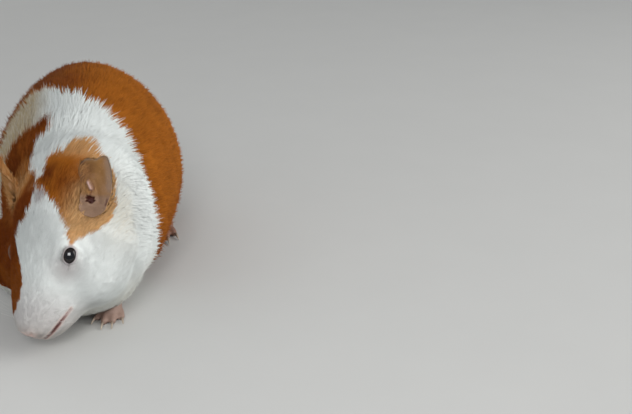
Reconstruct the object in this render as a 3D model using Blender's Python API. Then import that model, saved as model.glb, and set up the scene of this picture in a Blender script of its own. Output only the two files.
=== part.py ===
"""A guinea pig as a still, life-size museum model, crouched with its head down and turned to its right.

Metres, +Z up. The animal faces -Y, its left side is +X, and the origin is on the floor under the middle of
its box. The solids reach out to the tips of the coat. Simple lofted forms are melted into one body, which thin
cuts then part.
"""
from collections import namedtuple
from math import cos, exp, pi, radians, sin

import bmesh
import bpy
import numpy as np
from mathutils import Matrix, Vector

MM = 0.001
GAP = 0.3 * MM  # clearance between neighbouring solids
FRAME_SHIFT = Vector((2.53, -5.16, 0)) * MM  # brings the middle of the box over the origin
SIDES = (("left", 1), ("right", -1))

# ------------------------------------------------------------------ pose of the head
NOSE = Vector((-26, -103, 14)) * MM  # tip of the nose
HEAD_YAW = 29.0  # degrees towards the animal's right
HEAD_PITCH = 47.0  # nose down
HEAD_ROLL = 19.0  # left side raised

# ------------------------------------------------------------------ sections, in millimetres
# A cross-section of the head, back along the line from the nose tip to the back of the skull, lift above it.
HeadSection = namedtuple("HeadSection", "name back lift half_width rise drop")
HEAD_SECTIONS = (
    HeadSection("nose", 2.5, 0.0, 11.0, 9.5, 15.5),
    HeadSection("muzzle", 12, 0.0, 16.5, 14.0, 21.0),
    HeadSection("whisker_pads", 24, 0.5, 20.5, 18.0, 26.0),
    HeadSection("eyes", 37, 1.0, 23.5, 21.0, 30.5),
    HeadSection("brow", 50, 1.5, 27.5, 23.5, 33.0),
    HeadSection("ears", 64, 1.0, 31.0, 24.5, 33.0),
    HeadSection("crown", 76, 0.0, 29.0, 23.5, 30.0),
)
NOSE_CAP, CROWN_CAP = 5.5, 14.0

# A cross-section of the trunk, turned to the animal's right by yaw and leaning by pitch degrees.
TrunkSection = namedtuple("TrunkSection", "name x y z yaw pitch half_width rise drop")
TRUNK_SECTIONS = (
    TrunkSection("chest", -4, -66, 30, 12, 10, 27.0, 32.0, 26.0),
    TrunkSection("shoulders", -3, -38, 37, 8, 8, 40.0, 50.0, 34.5),
    TrunkSection("ribs", -3, -4, 38, 3, 2, 49.5, 64.0, 36.5),
    TrunkSection("loin", -2.5, 31, 37, 0, -2, 54.5, 69.5, 36.0),
    TrunkSection("haunches", -2.5, 60, 36, 0, -6, 55.5, 66.5, 34.5),
    TrunkSection("rump", -2.5, 82, 36, 0, -12, 51.5, 57.0, 33.5),
    TrunkSection("stern", -2.5, 99, 36, 0, -18, 39.0, 41.0, 29.0),
)
CHEST_CAP, STERN_CAP = 12.0, 18.0
TOP_SQUARE = 1.85  # superellipse exponent above the middle line
BELLY_SQUARE = 2.4  # and below it, where the belly is flatter
JAW_SQUARE = 2.3

# Fuller places, as ellipsoids: centre and radii. Those of the head are left, up and back from the nose tip.
NECK_FORM = ((-0.5, -46, 54), (34.5, 32, 39))
RUFF_FORM = ((-31, -41, 27), (24, 23, 26))  # fur pushed out on the side to which the head turns
CHEEK_FORM = ((17, -12, 45), (18, 20, 28))
WHISKER_FORM = ((8, -5, 13), (10.5, 10.5, 11.5))
HAUNCH_FORM = ((29, 50, 31), (26, 36, 28))
SHOULDER_FORM = ((20, -50, 28), (19, 25, 24))
THROAT_FORM = ((-3, -69, 22), (26, 16, 19))

# ------------------------------------------------------------------ limbs, in millimetres
# Points down the limb with the radius there. Offsets across are from the middle of the chest or of the hips.
FORE_MIDDLE, HIND_MIDDLE = -8.0, -2.5
FORELEG = (((20, -42, 34), 14), ((19, -50, 22), 12), ((18, -56, 13), 9), ((17, -59, 8.5), 6.5))
HINDLEG = (((34, 54, 24), 14), ((36, 54, 14), 10), ((37, 57, 8.5), 7))
FORELEG_CUT = ((19, -51, 20), (14, 15, 27))  # ellipsoid that parts the leg from the body
HINDLEG_CUT = ((38, 50, 24), (24, 32, 29))

# A toe's root and tip within the foot, across and forward, its radius and its claw's length.
Toe = namedtuple("Toe", "root tip radius claw")
FORE_TOES = (
    Toe((-4.5, 7), (-6.5, 12.5), 2.1, 3.6),
    Toe((-1.5, 9), (-2.2, 17), 2.2, 4.4),
    Toe((1.8, 9), (2.2, 16.5), 2.2, 4.4),
    Toe((4.8, 6.5), (6.3, 12.5), 2.1, 3.8),
)
HIND_TOES = (
    Toe((-3.8, 26), (-5.2, 34), 2.5, 5.4),
    Toe((0.0, 28), (0.2, 38), 2.7, 6.2),
    Toe((3.9, 26), (5.4, 34), 2.5, 5.4),
)
FOREFOOT = ((18, -59), -6.0)  # wrist across and along the body, then degrees turned out
HINDFOOT = ((37, 61), 8.0)  # the same for the heel
# Points along the sole from wrist or heel, across and forward, with the radius there.
FORE_PALM = (((0, -2), 5.0), ((0, 4), 5.6), ((0, 8), 5.2))
HIND_SOLE = (((0, 0), 5.6), ((0, 12), 6.0), ((0, 24), 6.6))
SOLE_CUT = 0.35  # how much of its radius a toe or palm loses below, to stand flat
KNUCKLE_RISE = 1.35  # height of a toe's middle, of its tip's

# ------------------------------------------------------------------ eyes and ears, in millimetres
EYE_CENTRE = (19.6, 8.0, 37.0)
EYE_RADIUS = 4.4
EAR_BASE = (28.9, 13.0, 62.5)
# The edge of the ear about its canal: degrees from outwards to backwards, and reach.
EAR_EDGE = (
    (-75, 7.8), (-53, 8.4), (-25, 8.9), (-6, 7.9), (19, 10.4), (41, 14.9), (57, 20.7), (65, 23.6),
    (73, 23.8), (81, 21.2), (87, 22.0), (95, 21.4), (103, 18.6), (113, 13.6), (137, 8.0), (175, 6.6),
    (215, 6.9), (250, 7.6),
)
EAR_ACROSS = (0.81, -0.54, 0.23)  # outwards, in the head's left, up and back
EAR_ALONG = (-0.01, 0.38, 0.92)  # towards the ear's tip
EAR_CUP = 8.5  # how far the rim stands out over the canal
EAR_FOLD, FOLD_TURN, FOLD_SPREAD = 3.2, 108.0, 22.0  # the folded front edge: height, angle and spread
EAR_THICK = (1.7, 1.0)  # at the canal and at the rim
EAR_FULL_REACH = 22.0  # reach at which the rim stands out by the whole cup
EAR_RINGS, EAR_SPOKES = 3, 40

# ------------------------------------------------------------------ planes that part head, neck and trunk
# A point on the plane, then its face's yaw and pitch in degrees.
HEAD_CUT = (Vector((4, -50, 60)) * MM, 18.0, -16.0)  # behind the ears and under the jaw
NECK_CUT = (Vector((-4, -28, 50)) * MM, 10.0, -16.0)  # in front of the shoulders

# ------------------------------------------------------------------ fineness
BODY_VOXEL, BODY_SMOOTHING, BODY_TRIANGLES = 2.6 * MM, 10, 2200
FOOT_VOXEL, FOOT_SMOOTHING, FOOT_TRIANGLES = 0.75 * MM, 2, 230


def turned(yaw, pitch, roll):
    """Forward, left and up directions after these turns in degrees."""
    yaw, pitch, roll = radians(yaw), radians(pitch), radians(roll)
    forward = Vector((-sin(yaw) * cos(pitch), -cos(yaw) * cos(pitch), -sin(pitch)))
    left = Vector((cos(yaw), -sin(yaw), 0.0))
    up = Vector((-sin(yaw) * sin(pitch), -cos(yaw) * sin(pitch), cos(pitch)))
    return forward, left * cos(roll) + up * sin(roll), up * cos(roll) - left * sin(roll)


HEAD_FORWARD, HEAD_LEFT, HEAD_UP = turned(HEAD_YAW, HEAD_PITCH, HEAD_ROLL)
HEAD_AXES = (HEAD_LEFT, HEAD_UP, -HEAD_FORWARD)


def along_head(left, up, back):
    """A direction given in the head's own frame."""
    return HEAD_LEFT * left + HEAD_UP * up - HEAD_FORWARD * back


def in_head(left, up, back):
    """A point given in the head's own frame, in millimetres from the nose tip."""
    return NOSE + along_head(left, up, back) * MM


def on_side(point, side, middle=0.0):
    """A point in millimetres, its offset across taken to this side of the middle."""
    return Vector((middle + side * point[0], point[1], point[2])) * MM


# ------------------------------------------------------------------ lofting
def spline(rows, t):
    """Catmull-Rom curve through rows of numbers, at t counted in rows."""
    i = min(int(t), len(rows) - 2)
    f = t - i
    before = rows[i - 1] if i else 2 * rows[0] - rows[1]
    after = rows[i + 2] if i + 2 < len(rows) else 2 * rows[-1] - rows[-2]
    a, b = rows[i], rows[i + 1]
    return 0.5 * (2 * a + (b - before) * f + (2 * before - 5 * a + 4 * b - after) * f**2
                  + (3 * a - before - 3 * b + after) * f**3)


def ring(row, scale, advance, segments, squares):
    """One ring of points. A row is centre, forward, left, up, half width, rise and drop."""
    centre, forward, left, up = (Vector(row[k : k + 3]) for k in (0, 3, 6, 9))
    half_width, rise, drop = row[12:15] * scale
    points = []
    for k in range(segments):
        c, s = cos(2 * pi * k / segments), sin(2 * pi * k / segments)
        power = 2 / (squares[0] if s > 0 else squares[1])
        across = half_width * abs(c) ** power * (1 if c > 0 else -1)
        height = (rise if s > 0 else drop) * abs(s) ** power * (1 if s > 0 else -1)
        points.append(centre + forward * advance + left * across + up * height)
    return points


def loft(rows, front_cap, back_cap, segments=32, per_section=3, cap_rings=5, squares=(2, 2)):
    """Rings through the rows, front to back, closed by a rounded cap at each end."""
    rows = np.array(rows)
    turns = [pi / 2 * k / cap_rings for k in range(cap_rings)]
    rings = [ring(rows[0], max(sin(a), 0.03), front_cap * cos(a), segments, squares) for a in turns]
    steps = (len(rows) - 1) * per_section
    rings += [ring(spline(rows, k / per_section), 1, 0, segments, squares) for k in range(steps + 1)]
    turns.reverse()
    rings += [ring(rows[-1], max(sin(a), 0.03), -back_cap * cos(a), segments, squares) for a in turns]
    return rings


def tube(bm, rings):
    """Adds the closed surface through the rings to a bmesh."""
    loops = [[bm.verts.new(p) for p in points] for points in rings]
    count = len(rings[0])
    for a, b in zip(loops, loops[1:]):
        for k in range(count):
            bm.faces.new((a[k], a[(k + 1) % count], b[(k + 1) % count], b[k]))
    bm.faces.new(loops[0])
    bm.faces.new(loops[-1])


def limb(bm, points, radii, segments=16):
    """Adds a rounded limb through these points in metres, with these radii in metres."""
    rows = []
    for k, point in enumerate(points):
        forward = (points[max(k - 1, 0)] - points[min(k + 1, len(points) - 1)]).normalized()
        left = forward.orthogonal().normalized()
        rows.append([*point, *forward, *left, *forward.cross(left), radii[k], radii[k], radii[k]])
    rings = loft(rows, radii[0], radii[-1], segments, 2, 4)
    tube(bm, rings)


def ball(bm, centre, radii, axes=None, segments=28):
    """Adds an ellipsoid to a bmesh, its radii along these axes."""
    turn = Matrix(axes).transposed().to_4x4() if axes else Matrix()
    matrix = Matrix.Translation(centre) @ turn @ Matrix.Diagonal((*radii, 1))
    bmesh.ops.create_uvsphere(bm, u_segments=segments, v_segments=segments // 2, radius=1, matrix=matrix)


# ------------------------------------------------------------------ forms of the body
def head_rows():
    return [[*in_head(0, s.lift, s.back), *HEAD_FORWARD, *HEAD_LEFT, *HEAD_UP,
             s.half_width * MM, s.rise * MM, s.drop * MM] for s in HEAD_SECTIONS]


def trunk_rows():
    rows = []
    for s in TRUNK_SECTIONS:
        axes = turned(s.yaw, s.pitch, 0)
        sizes = (s.half_width * MM, s.rise * MM, s.drop * MM)
        rows.append([s.x * MM, s.y * MM, s.z * MM, *axes[0], *axes[1], *axes[2], *sizes])
    return rows


def body_forms():
    """Head, neck, trunk and upper limbs as overlapping closed shells in one bmesh."""
    bm = bmesh.new()
    tube(bm, loft(head_rows(), NOSE_CAP * MM, CROWN_CAP * MM, squares=(2, JAW_SQUARE)))
    tube(bm, loft(trunk_rows(), CHEST_CAP * MM, STERN_CAP * MM, squares=(TOP_SQUARE, BELLY_SQUARE)))
    for centre, radii in (NECK_FORM, RUFF_FORM, THROAT_FORM):
        ball(bm, Vector(centre) * MM, Vector(radii) * MM)
    for _, side in SIDES:
        for (left, up, back), radii in (CHEEK_FORM, WHISKER_FORM):
            ball(bm, in_head(side * left, up, back), Vector(radii) * MM, HEAD_AXES)
        for (centre, radii), middle in ((HAUNCH_FORM, HIND_MIDDLE), (SHOULDER_FORM, FORE_MIDDLE)):
            ball(bm, on_side(centre, side, middle), Vector(radii) * MM)
        for leg, middle in ((FORELEG, FORE_MIDDLE), (HINDLEG, HIND_MIDDLE)):
            limb(bm, [on_side(point, side, middle) for point, _ in leg], [radius * MM for _, radius in leg])
    return bm


# ------------------------------------------------------------------ objects
def clear_scene():
    for obj in list(bpy.data.objects):
        bpy.data.objects.remove(obj)


def add_object(name, bm, material):
    mesh = bpy.data.meshes.new(name)
    bmesh.ops.recalc_face_normals(bm, faces=bm.faces)
    bm.to_mesh(mesh)
    bm.free()
    mesh.materials.append(material)
    mesh.shade_smooth()
    obj = bpy.data.objects.new(name, mesh)
    bpy.context.scene.collection.objects.link(obj)
    return obj


def copy_object(obj, name):
    copy = bpy.data.objects.new(name, obj.data.copy())
    bpy.context.scene.collection.objects.link(copy)
    return copy


def apply_modifiers(obj):
    """Replaces an object's mesh by what its modifiers make of it."""
    graph = bpy.context.evaluated_depsgraph_get()
    mesh = bpy.data.meshes.new_from_object(obj.evaluated_get(graph))
    obj.modifiers.clear()
    obj.data = mesh


def melt(obj, voxel, smoothing, triangles):
    """Melts an object's overlapping shells into one smooth skin of about this many triangles."""
    remesh = obj.modifiers.new("melt", "REMESH")
    remesh.mode = "VOXEL"
    remesh.voxel_size = voxel
    smooth = obj.modifiers.new("smooth", "SMOOTH")
    smooth.factor = 0.5
    smooth.iterations = smoothing
    apply_modifiers(obj)
    thin = obj.modifiers.new("thin", "DECIMATE")
    thin.ratio = min(1.0, triangles / (2 * len(obj.data.polygons)))
    apply_modifiers(obj)


def combine(obj, other, operation):
    """Boolean of an object with another, kept as the object's own mesh."""
    boolean = obj.modifiers.new(operation.lower(), "BOOLEAN")
    boolean.operation = operation
    boolean.solver = "EXACT"
    boolean.object = other
    apply_modifiers(obj)


def keep_largest(obj):
    """Drops loose crumbs that a cut leaves, keeping the island with the most volume."""
    bm = bmesh.new()
    bm.from_mesh(obj.data)
    bm.verts.ensure_lookup_table()
    islands, seen = [], set()
    for start in bm.verts:
        if start in seen:
            continue
        stack, island = [start], []
        seen.add(start)
        while stack:
            vert = stack.pop()
            island.append(vert)
            for edge in vert.link_edges:
                other = edge.other_vert(vert)
                if other not in seen:
                    seen.add(other)
                    stack.append(other)
        low = np.min([v.co for v in island], axis=0)
        high = np.max([v.co for v in island], axis=0)
        islands.append((float(np.prod(high - low)), island))
    islands.sort(key=lambda found: -found[0])
    for _, island in islands[1:]:
        bmesh.ops.delete(bm, geom=island, context="VERTS")
    bm.to_mesh(obj.data)
    bm.free()


def carve(body, name, region, region_grown):
    """Parts from the body what lies in a region, leaving a gap. Both regions are used up."""
    piece = copy_object(body, name)
    combine(piece, region, "INTERSECT")
    combine(body, region_grown, "DIFFERENCE")
    for cutter in (region, region_grown):
        bpy.data.objects.remove(cutter)
    keep_largest(piece)
    keep_largest(body)
    return piece


def grown_copy(obj, name, distance):
    """A copy with its surface moved outwards."""
    copy = copy_object(obj, name)
    normals = [v.normal.copy() for v in copy.data.vertices]
    for vert, normal in zip(copy.data.vertices, normals):
        vert.co += normal * distance
    return copy


# ------------------------------------------------------------------ regions that part the body
def ellipsoid_region(centre, radii, grow, material):
    bm = bmesh.new()
    ball(bm, centre, Vector(radii) * MM + Vector((grow, grow, grow)), segments=16)
    return add_object("cutter", bm, material)


def front_region(point, yaw, pitch, grow, material):
    """A deep block of all that is in front of a plane, whose face is turned by yaw and tipped by pitch."""
    forward, left, up = turned(yaw, pitch, 0)
    reach = 200 * MM
    matrix = Matrix((left, up, forward)).transposed().to_4x4()
    matrix.translation = point + forward * (reach / 2 - grow)
    bm = bmesh.new()
    bmesh.ops.create_cube(bm, size=reach, matrix=matrix)
    return add_object("cutter", bm, material)


# ------------------------------------------------------------------ feet and claws
def foot_frame(place, side, middle):
    """Heel or wrist point, forward and outward directions of a foot on this side."""
    (across, forward_at), turned_out = place
    angle = radians(turned_out) * side
    forward = Vector((sin(angle), -cos(angle), 0))
    outward = Vector((cos(angle), sin(angle), 0)) * side
    return Vector((middle + side * across, forward_at, 0)) * MM, forward, outward


def add_foot(name, place, side, middle, sole, toes, clearance, material):
    """A foot of one sole and its toes, flat below and clear of the leg above."""
    origin, forward, outward = foot_frame(place, side, middle)
    floor = Vector((0, 0, 1))
    bm = bmesh.new()

    def at(across, ahead, height):
        return origin + (outward * across + forward * ahead + floor * height) * MM

    radii = [radius * MM for _, radius in sole]
    limb(bm, [at(*point, radius * (1 - SOLE_CUT)) for point, radius in sole], radii)
    for toe in toes:
        height = toe.radius * (1 - SOLE_CUT)
        middle_point = [(a + b) / 2 for a, b in zip(toe.root, toe.tip)]
        points = [at(*toe.root, height), at(*middle_point, height * KNUCKLE_RISE), at(*toe.tip, height)]
        limb(bm, points, [toe.radius * MM, toe.radius * 0.95 * MM, toe.radius * 0.8 * MM], 12)
    foot = add_object(name, bm, material)
    melt(foot, FOOT_VOXEL, FOOT_SMOOTHING, FOOT_TRIANGLES)
    bm = bmesh.new()
    bmesh.ops.create_cube(bm, size=0.2, matrix=Matrix.Translation((0, 0, -0.1)))
    ground = add_object("cutter", bm, material)
    combine(foot, ground, "DIFFERENCE")
    combine(foot, clearance, "DIFFERENCE")
    bpy.data.objects.remove(ground)
    keep_largest(foot)
    return at


def add_claw(name, at, toe, material):
    """A claw off a toe's tip, curving down to just above the floor."""
    aim = Vector((toe.tip[0] - toe.root[0], toe.tip[1] - toe.root[1]))
    aim.normalize()
    start = toe.radius * 0.8 + GAP / MM + 0.15
    base = toe.radius * 0.52
    rings = []
    for k in range(4):
        t = k / 3
        ahead = start + toe.claw * t
        height = toe.radius * 0.85 * (1 - t * t) + 0.35 * t + 0.3
        radius = base * (1 - 0.82 * t)
        centre = (toe.tip[0] + aim.x * ahead, toe.tip[1] + aim.y * ahead)
        loop = []
        for j in range(6):
            turn = 2 * pi * j / 6
            side_step = radius * 0.8 * cos(turn)
            across, forward = centre[0] - aim.y * side_step, centre[1] + aim.x * side_step
            loop.append(at(across, forward, height + radius * sin(turn)))
        rings.append(loop)
    bm = bmesh.new()
    tube(bm, rings)
    return add_object(name, bm, material)


# ------------------------------------------------------------------ ears and eyes
def ear_reach(degrees):
    """Reach of the ear's edge from its canal at this angle."""
    angles = [a for a, _ in EAR_EDGE] + [EAR_EDGE[0][0] + 360]
    reaches = [r for _, r in EAR_EDGE] + [EAR_EDGE[0][1]]
    return float(np.interp(degrees, angles, reaches))


def ear_point(turn, part, side, layer):
    """A point of the ear: angle in degrees, part of the way to the rim, and layer 1 inside or 0 outside."""
    reach = ear_reach(turn) * part
    across, along = reach * cos(radians(turn)), reach * sin(radians(turn))
    cup = EAR_CUP * np.clip(ear_reach(turn) / EAR_FULL_REACH, 0.3, 1) * part**1.6
    cup += EAR_FOLD * exp(-(((turn - FOLD_TURN) / FOLD_SPREAD) ** 2)) * part
    thick = EAR_THICK[0] + (EAR_THICK[1] - EAR_THICK[0]) * part
    face = Vector(EAR_ALONG).cross(Vector(EAR_ACROSS))
    place = Vector(EAR_BASE) + Vector(EAR_ACROSS) * across + Vector(EAR_ALONG) * along
    place += face * (cup - thick * (1 - layer))
    return in_head(side * place.x, place.y, place.z)


def add_ear(name, side, clearance, material):
    """A thin cupped petal about the ear canal."""
    bm = bmesh.new()
    turns = [EAR_EDGE[0][0] + 360 * k / EAR_SPOKES for k in range(EAR_SPOKES)]
    layers = []
    for layer in (0, 1):
        centre = bm.verts.new(ear_point(0, 0, side, layer))
        loops = [[bm.verts.new(ear_point(turn, (k + 1) / EAR_RINGS, side, layer)) for turn in turns]
                 for k in range(EAR_RINGS)]
        for k in range(EAR_SPOKES):
            bm.faces.new((centre, loops[0][k], loops[0][(k + 1) % EAR_SPOKES]))
        for a, b in zip(loops, loops[1:]):
            for k in range(EAR_SPOKES):
                bm.faces.new((a[k], a[(k + 1) % EAR_SPOKES], b[(k + 1) % EAR_SPOKES], b[k]))
        layers.append(loops[-1])
    for k in range(EAR_SPOKES):
        ahead = (k + 1) % EAR_SPOKES
        bm.faces.new((layers[0][k], layers[0][ahead], layers[1][ahead], layers[1][k]))
    ear = add_object(name, bm, material)
    combine(ear, clearance, "DIFFERENCE")
    keep_largest(ear)
    return ear


def add_eye(name, side, head, material):
    """An eyeball, and its socket in the head."""
    left, up, back = EYE_CENTRE
    centre = in_head(side * left, up, back)
    size = EYE_RADIUS * MM
    bm = bmesh.new()
    ball(bm, centre, (size, size, size), segments=14)
    eye = add_object(name, bm, material)
    bm = bmesh.new()
    ball(bm, centre, (size + GAP, size + GAP, size + GAP), segments=14)
    socket = add_object("cutter", bm, material)
    combine(head, socket, "DIFFERENCE")
    bpy.data.objects.remove(socket)
    keep_largest(head)
    return eye


def finish(name, colour, roughness, metallic=0.0):
    """A plain material of one colour."""
    material = bpy.data.materials.new(name)
    material.use_nodes = True
    shader = material.node_tree.nodes["Principled BSDF"]
    shader.inputs["Base Color"].default_value = (*colour, 1.0)
    shader.inputs["Roughness"].default_value = roughness
    shader.inputs["Metallic"].default_value = metallic
    return material


# ------------------------------------------------------------------ the model
def main():
    clear_scene()
    white = finish("white_coat", (0.80, 0.79, 0.76), 0.8)
    orange = finish("orange_coat", (0.45, 0.19, 0.06), 0.8)
    skin = finish("bare_skin", (0.62, 0.38, 0.32), 0.55)
    black = finish("eye", (0.01, 0.008, 0.008), 0.08)
    horn = finish("claw", (0.55, 0.45, 0.38), 0.4)
    body = add_object("trunk", body_forms(), orange)
    melt(body, BODY_VOXEL, BODY_SMOOTHING, BODY_TRIANGLES)
    clearance = grown_copy(body, "clearance", GAP)
    for label, side in SIDES:
        add_ear("ear_" + label, side, clearance, skin)
        at = add_foot("forefoot_" + label, FOREFOOT, side, FORE_MIDDLE, FORE_PALM, FORE_TOES, clearance, skin)
        for k, toe in enumerate(FORE_TOES):
            add_claw(f"foreclaw_{label}_{k + 1}", at, toe, horn)
        at = add_foot("hindfoot_" + label, HINDFOOT, side, HIND_MIDDLE, HIND_SOLE, HIND_TOES, clearance, skin)
        for k, toe in enumerate(HIND_TOES):
            add_claw(f"hindclaw_{label}_{k + 1}", at, toe, horn)
        for leg, (centre, radii), middle in (("foreleg_", FORELEG_CUT, FORE_MIDDLE),
                                             ("hindleg_", HINDLEG_CUT, HIND_MIDDLE)):
            place = on_side(centre, side, middle)
            carve(body, leg + label, *[ellipsoid_region(place, radii, grow, orange) for grow in (0, GAP)])
    bpy.data.objects.remove(clearance)
    head = carve(body, "head", *[front_region(*HEAD_CUT, grow, white) for grow in (0, GAP)])
    carve(body, "neck", *[front_region(*NECK_CUT, grow, white) for grow in (0, GAP)])
    for label, side in SIDES:
        add_eye("eye_" + label, side, head, black)
    for obj in bpy.data.objects:
        obj.data.transform(Matrix.Translation(FRAME_SHIFT))


main()
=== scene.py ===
"""Looks of the still guinea pig: one skin, a coat of mesh tufts, eyes, claws and whiskers.

Lengths are in metres in the frame, and in millimetres in the head's own frame, whose axes run left,
up and back from the tip of the nose.
"""
import logging
from dataclasses import dataclass, field
from enum import Enum
from math import radians
from typing import Any, Callable

import bmesh
import bpy
import numpy as np
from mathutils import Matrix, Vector
from mathutils.bvhtree import BVHTree
from mathutils.kdtree import KDTree


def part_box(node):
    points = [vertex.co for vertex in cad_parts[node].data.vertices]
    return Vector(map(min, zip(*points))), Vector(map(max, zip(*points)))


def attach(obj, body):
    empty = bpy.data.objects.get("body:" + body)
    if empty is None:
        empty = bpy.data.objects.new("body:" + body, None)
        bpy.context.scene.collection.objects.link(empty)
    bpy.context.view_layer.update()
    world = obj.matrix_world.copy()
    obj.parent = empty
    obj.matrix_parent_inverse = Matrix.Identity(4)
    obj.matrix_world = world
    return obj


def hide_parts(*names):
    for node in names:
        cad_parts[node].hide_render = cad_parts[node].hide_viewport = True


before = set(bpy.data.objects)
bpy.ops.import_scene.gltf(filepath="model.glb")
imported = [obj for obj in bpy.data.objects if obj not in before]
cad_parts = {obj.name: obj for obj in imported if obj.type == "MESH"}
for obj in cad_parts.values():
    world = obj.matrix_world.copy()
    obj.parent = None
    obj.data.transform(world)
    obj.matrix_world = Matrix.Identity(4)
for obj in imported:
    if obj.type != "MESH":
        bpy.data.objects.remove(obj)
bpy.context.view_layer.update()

MM = 0.001
WELD = 0.001 * MM  # within which a node's points are one
FAR = 1e9  # more than any distance
LOG = logging.getLogger("guinea_pig")
SIDES = (("left", 1), ("right", -1))
BODY_NODES = (
    "head", "neck", "trunk", "foreleg_left", "foreleg_right", "hindleg_left", "hindleg_right",
)
FOOT_NODES = ("forefoot_left", "forefoot_right", "hindfoot_left", "hindfoot_right")
EAR_NODES = ("ear_left", "ear_right")
Piece = bpy.types.Object
Mesh = bpy.types.Mesh
Material = bpy.types.Material
Array = np.ndarray
Colour = tuple[float, float, float]
Point = tuple[float, float, float]
Path = tuple[Point, ...]
Line = tuple[tuple[float, float], ...]
Form = tuple[float, Point, float]  # a soft bump: its height, middle and radius in millimetres
RING_SIDES = ((0, 1), (1, 2), (2, 0))  # of a ring of three points


# ---- small helpers
def ramp(values: Array, low: float, high: float) -> Array:
    """Smooth step from 0 at low to 1 at high; low may be the larger."""
    t = np.clip((values - low) / (high - low), 0.0, 1.0)
    return t * t * (3 - 2 * t)


def unit(vectors: Array) -> Array:
    """The vectors at length one."""
    return vectors / np.maximum(np.linalg.norm(vectors, axis=-1, keepdims=True), 1e-12)


def dot(a: Array, b: Array) -> Array:
    """Row by row scalar product."""
    return (a * b).sum(-1)


def bell(values: Array, width: float) -> Array:
    """1 where the values are 0, falling softly to 0 a few widths off."""
    return np.exp(-((values / width) ** 2))


def bump_at(points: Array, centre: Point, radius: float) -> Array:
    """A soft bump of height one about a centre."""
    return np.exp(-dot(points - np.array(centre), points - np.array(centre)) / radius**2)


def oval_at(turn: Array, back: Array, middle: tuple[float, float], spread: tuple[float, float]) -> Array:
    """A soft oval of height one on the head, in degrees round it and millimetres back."""
    return np.exp(-(((turn - middle[0]) / spread[0]) ** 2) - ((back - middle[1]) / spread[1]) ** 2)


def polar(turn: Array, out: Array) -> tuple[Array, Array]:
    """Across and along, from degrees round and millimetres out."""
    return out * np.cos(np.radians(turn)), out * np.sin(np.radians(turn))


def mirrored(place: Array | Point, side: int) -> Array:
    """A place of the head's frame on the left side, or its mirror image on the right."""
    return np.array(place) * np.array([side, 1, 1])


def near_line(points: Array, line: Path) -> Array:
    """Distance of each point from a line.

    Args:
        points: the points.
        line: the line's corners, in the points' unit.

    Returns:
        One distance for each point.
    """
    best = np.full(len(points), FAR)
    for a, b in zip(np.array(line)[:-1], np.array(line)[1:]):
        t = np.clip((points - a) @ (b - a) / ((b - a) @ (b - a)), 0, 1)
        best = np.minimum(best, np.linalg.norm(points - a - t[:, None] * (b - a), axis=1))
    return best


class Ripple:
    """A smooth, wandering field made of a few plane waves."""

    def __init__(self, seed: int, wavelength: float, waves: int = 9) -> None:
        """Draws the waves.

        Args:
            seed: start of the random draws.
            wavelength: middle wavelength, in the unit of the points.
            waves: how many waves are added.
        """
        rng = np.random.default_rng(seed)
        lengths = wavelength * rng.uniform(0.7, 1.5, (waves, 1))
        self.waves = unit(rng.normal(size=(waves, 3))) * 2 * np.pi / lengths
        self.phases = rng.uniform(0, 2 * np.pi, waves)

    def __call__(self, points: Array) -> Array:
        """The field at these points, mostly between -1 and 1."""
        return np.sin(points @ self.waves.T + self.phases).sum(1) / np.sqrt(len(self.phases))


# ---- meshes as arrays
def points_of(mesh: Mesh) -> Array:
    """The mesh's points."""
    found = np.empty(len(mesh.vertices) * 3, np.float32)
    mesh.vertices.foreach_get("co", found)
    return found.reshape(-1, 3).astype(float)


def set_points(mesh: Mesh, points: Array) -> None:
    """Moves the mesh's points."""
    mesh.vertices.foreach_set("co", points.astype(np.float32).ravel())
    mesh.update()


def normals_of(mesh: Mesh) -> Array:
    """The normals at the mesh's points."""
    found = np.empty(len(mesh.vertices) * 3, np.float32)
    mesh.vertex_normals.foreach_get("vector", found)
    return found.reshape(-1, 3).astype(float)


def edges_of(mesh: Mesh) -> Array:
    """Pairs of points joined by an edge."""
    found = np.empty(len(mesh.edges) * 2, np.int32)
    mesh.edges.foreach_get("vertices", found)
    return found.reshape(-1, 2)


def neighbour_mean(values: Array, edges: Array) -> Array:
    """Mean of each point's neighbours along the edges.

    Args:
        values: a row for each point.
        edges: pairs of points.

    Returns:
        A row for each point.
    """
    count = np.bincount(edges.ravel(), minlength=len(values)).astype(float)
    first, second = edges.T
    total = np.stack([
        np.bincount(first, row[second], len(row)) + np.bincount(second, row[first], len(row))
        for row in values.T
    ], 1)
    return total / np.maximum(count, 1)[:, None]


def relax(mesh: Mesh, rounds: int, weight: Array | float = 0.5) -> None:
    """Draws points towards their neighbours' mean and half as far back, to keep the volume.

    Args:
        mesh: the mesh to smooth.
        rounds: how many times.
        weight: how far, for all points or for each.
    """
    points, edges = points_of(mesh), edges_of(mesh)
    weight = np.broadcast_to(np.asarray(weight, float), (len(points),))[:, None]
    for _ in range(rounds):
        points = points + (neighbour_mean(points, edges) - points) * weight
        points = points - (neighbour_mean(points, edges) - points) * weight * 0.5
    set_points(mesh, points)


def new_object(name: str, data: Any) -> Piece:
    """An object in the scene that holds this mesh, lamp or camera."""
    obj = bpy.data.objects.new(name, data)
    bpy.context.scene.collection.objects.link(obj)
    return obj


def face_outwards(mesh: Mesh) -> None:
    """Turns a closed mesh's faces outwards and shades them smooth."""
    bm = bmesh.new()
    bm.from_mesh(mesh)
    bmesh.ops.recalc_face_normals(bm, faces=bm.faces)
    bm.to_mesh(mesh)
    bm.free()
    mesh.shade_smooth()


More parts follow.
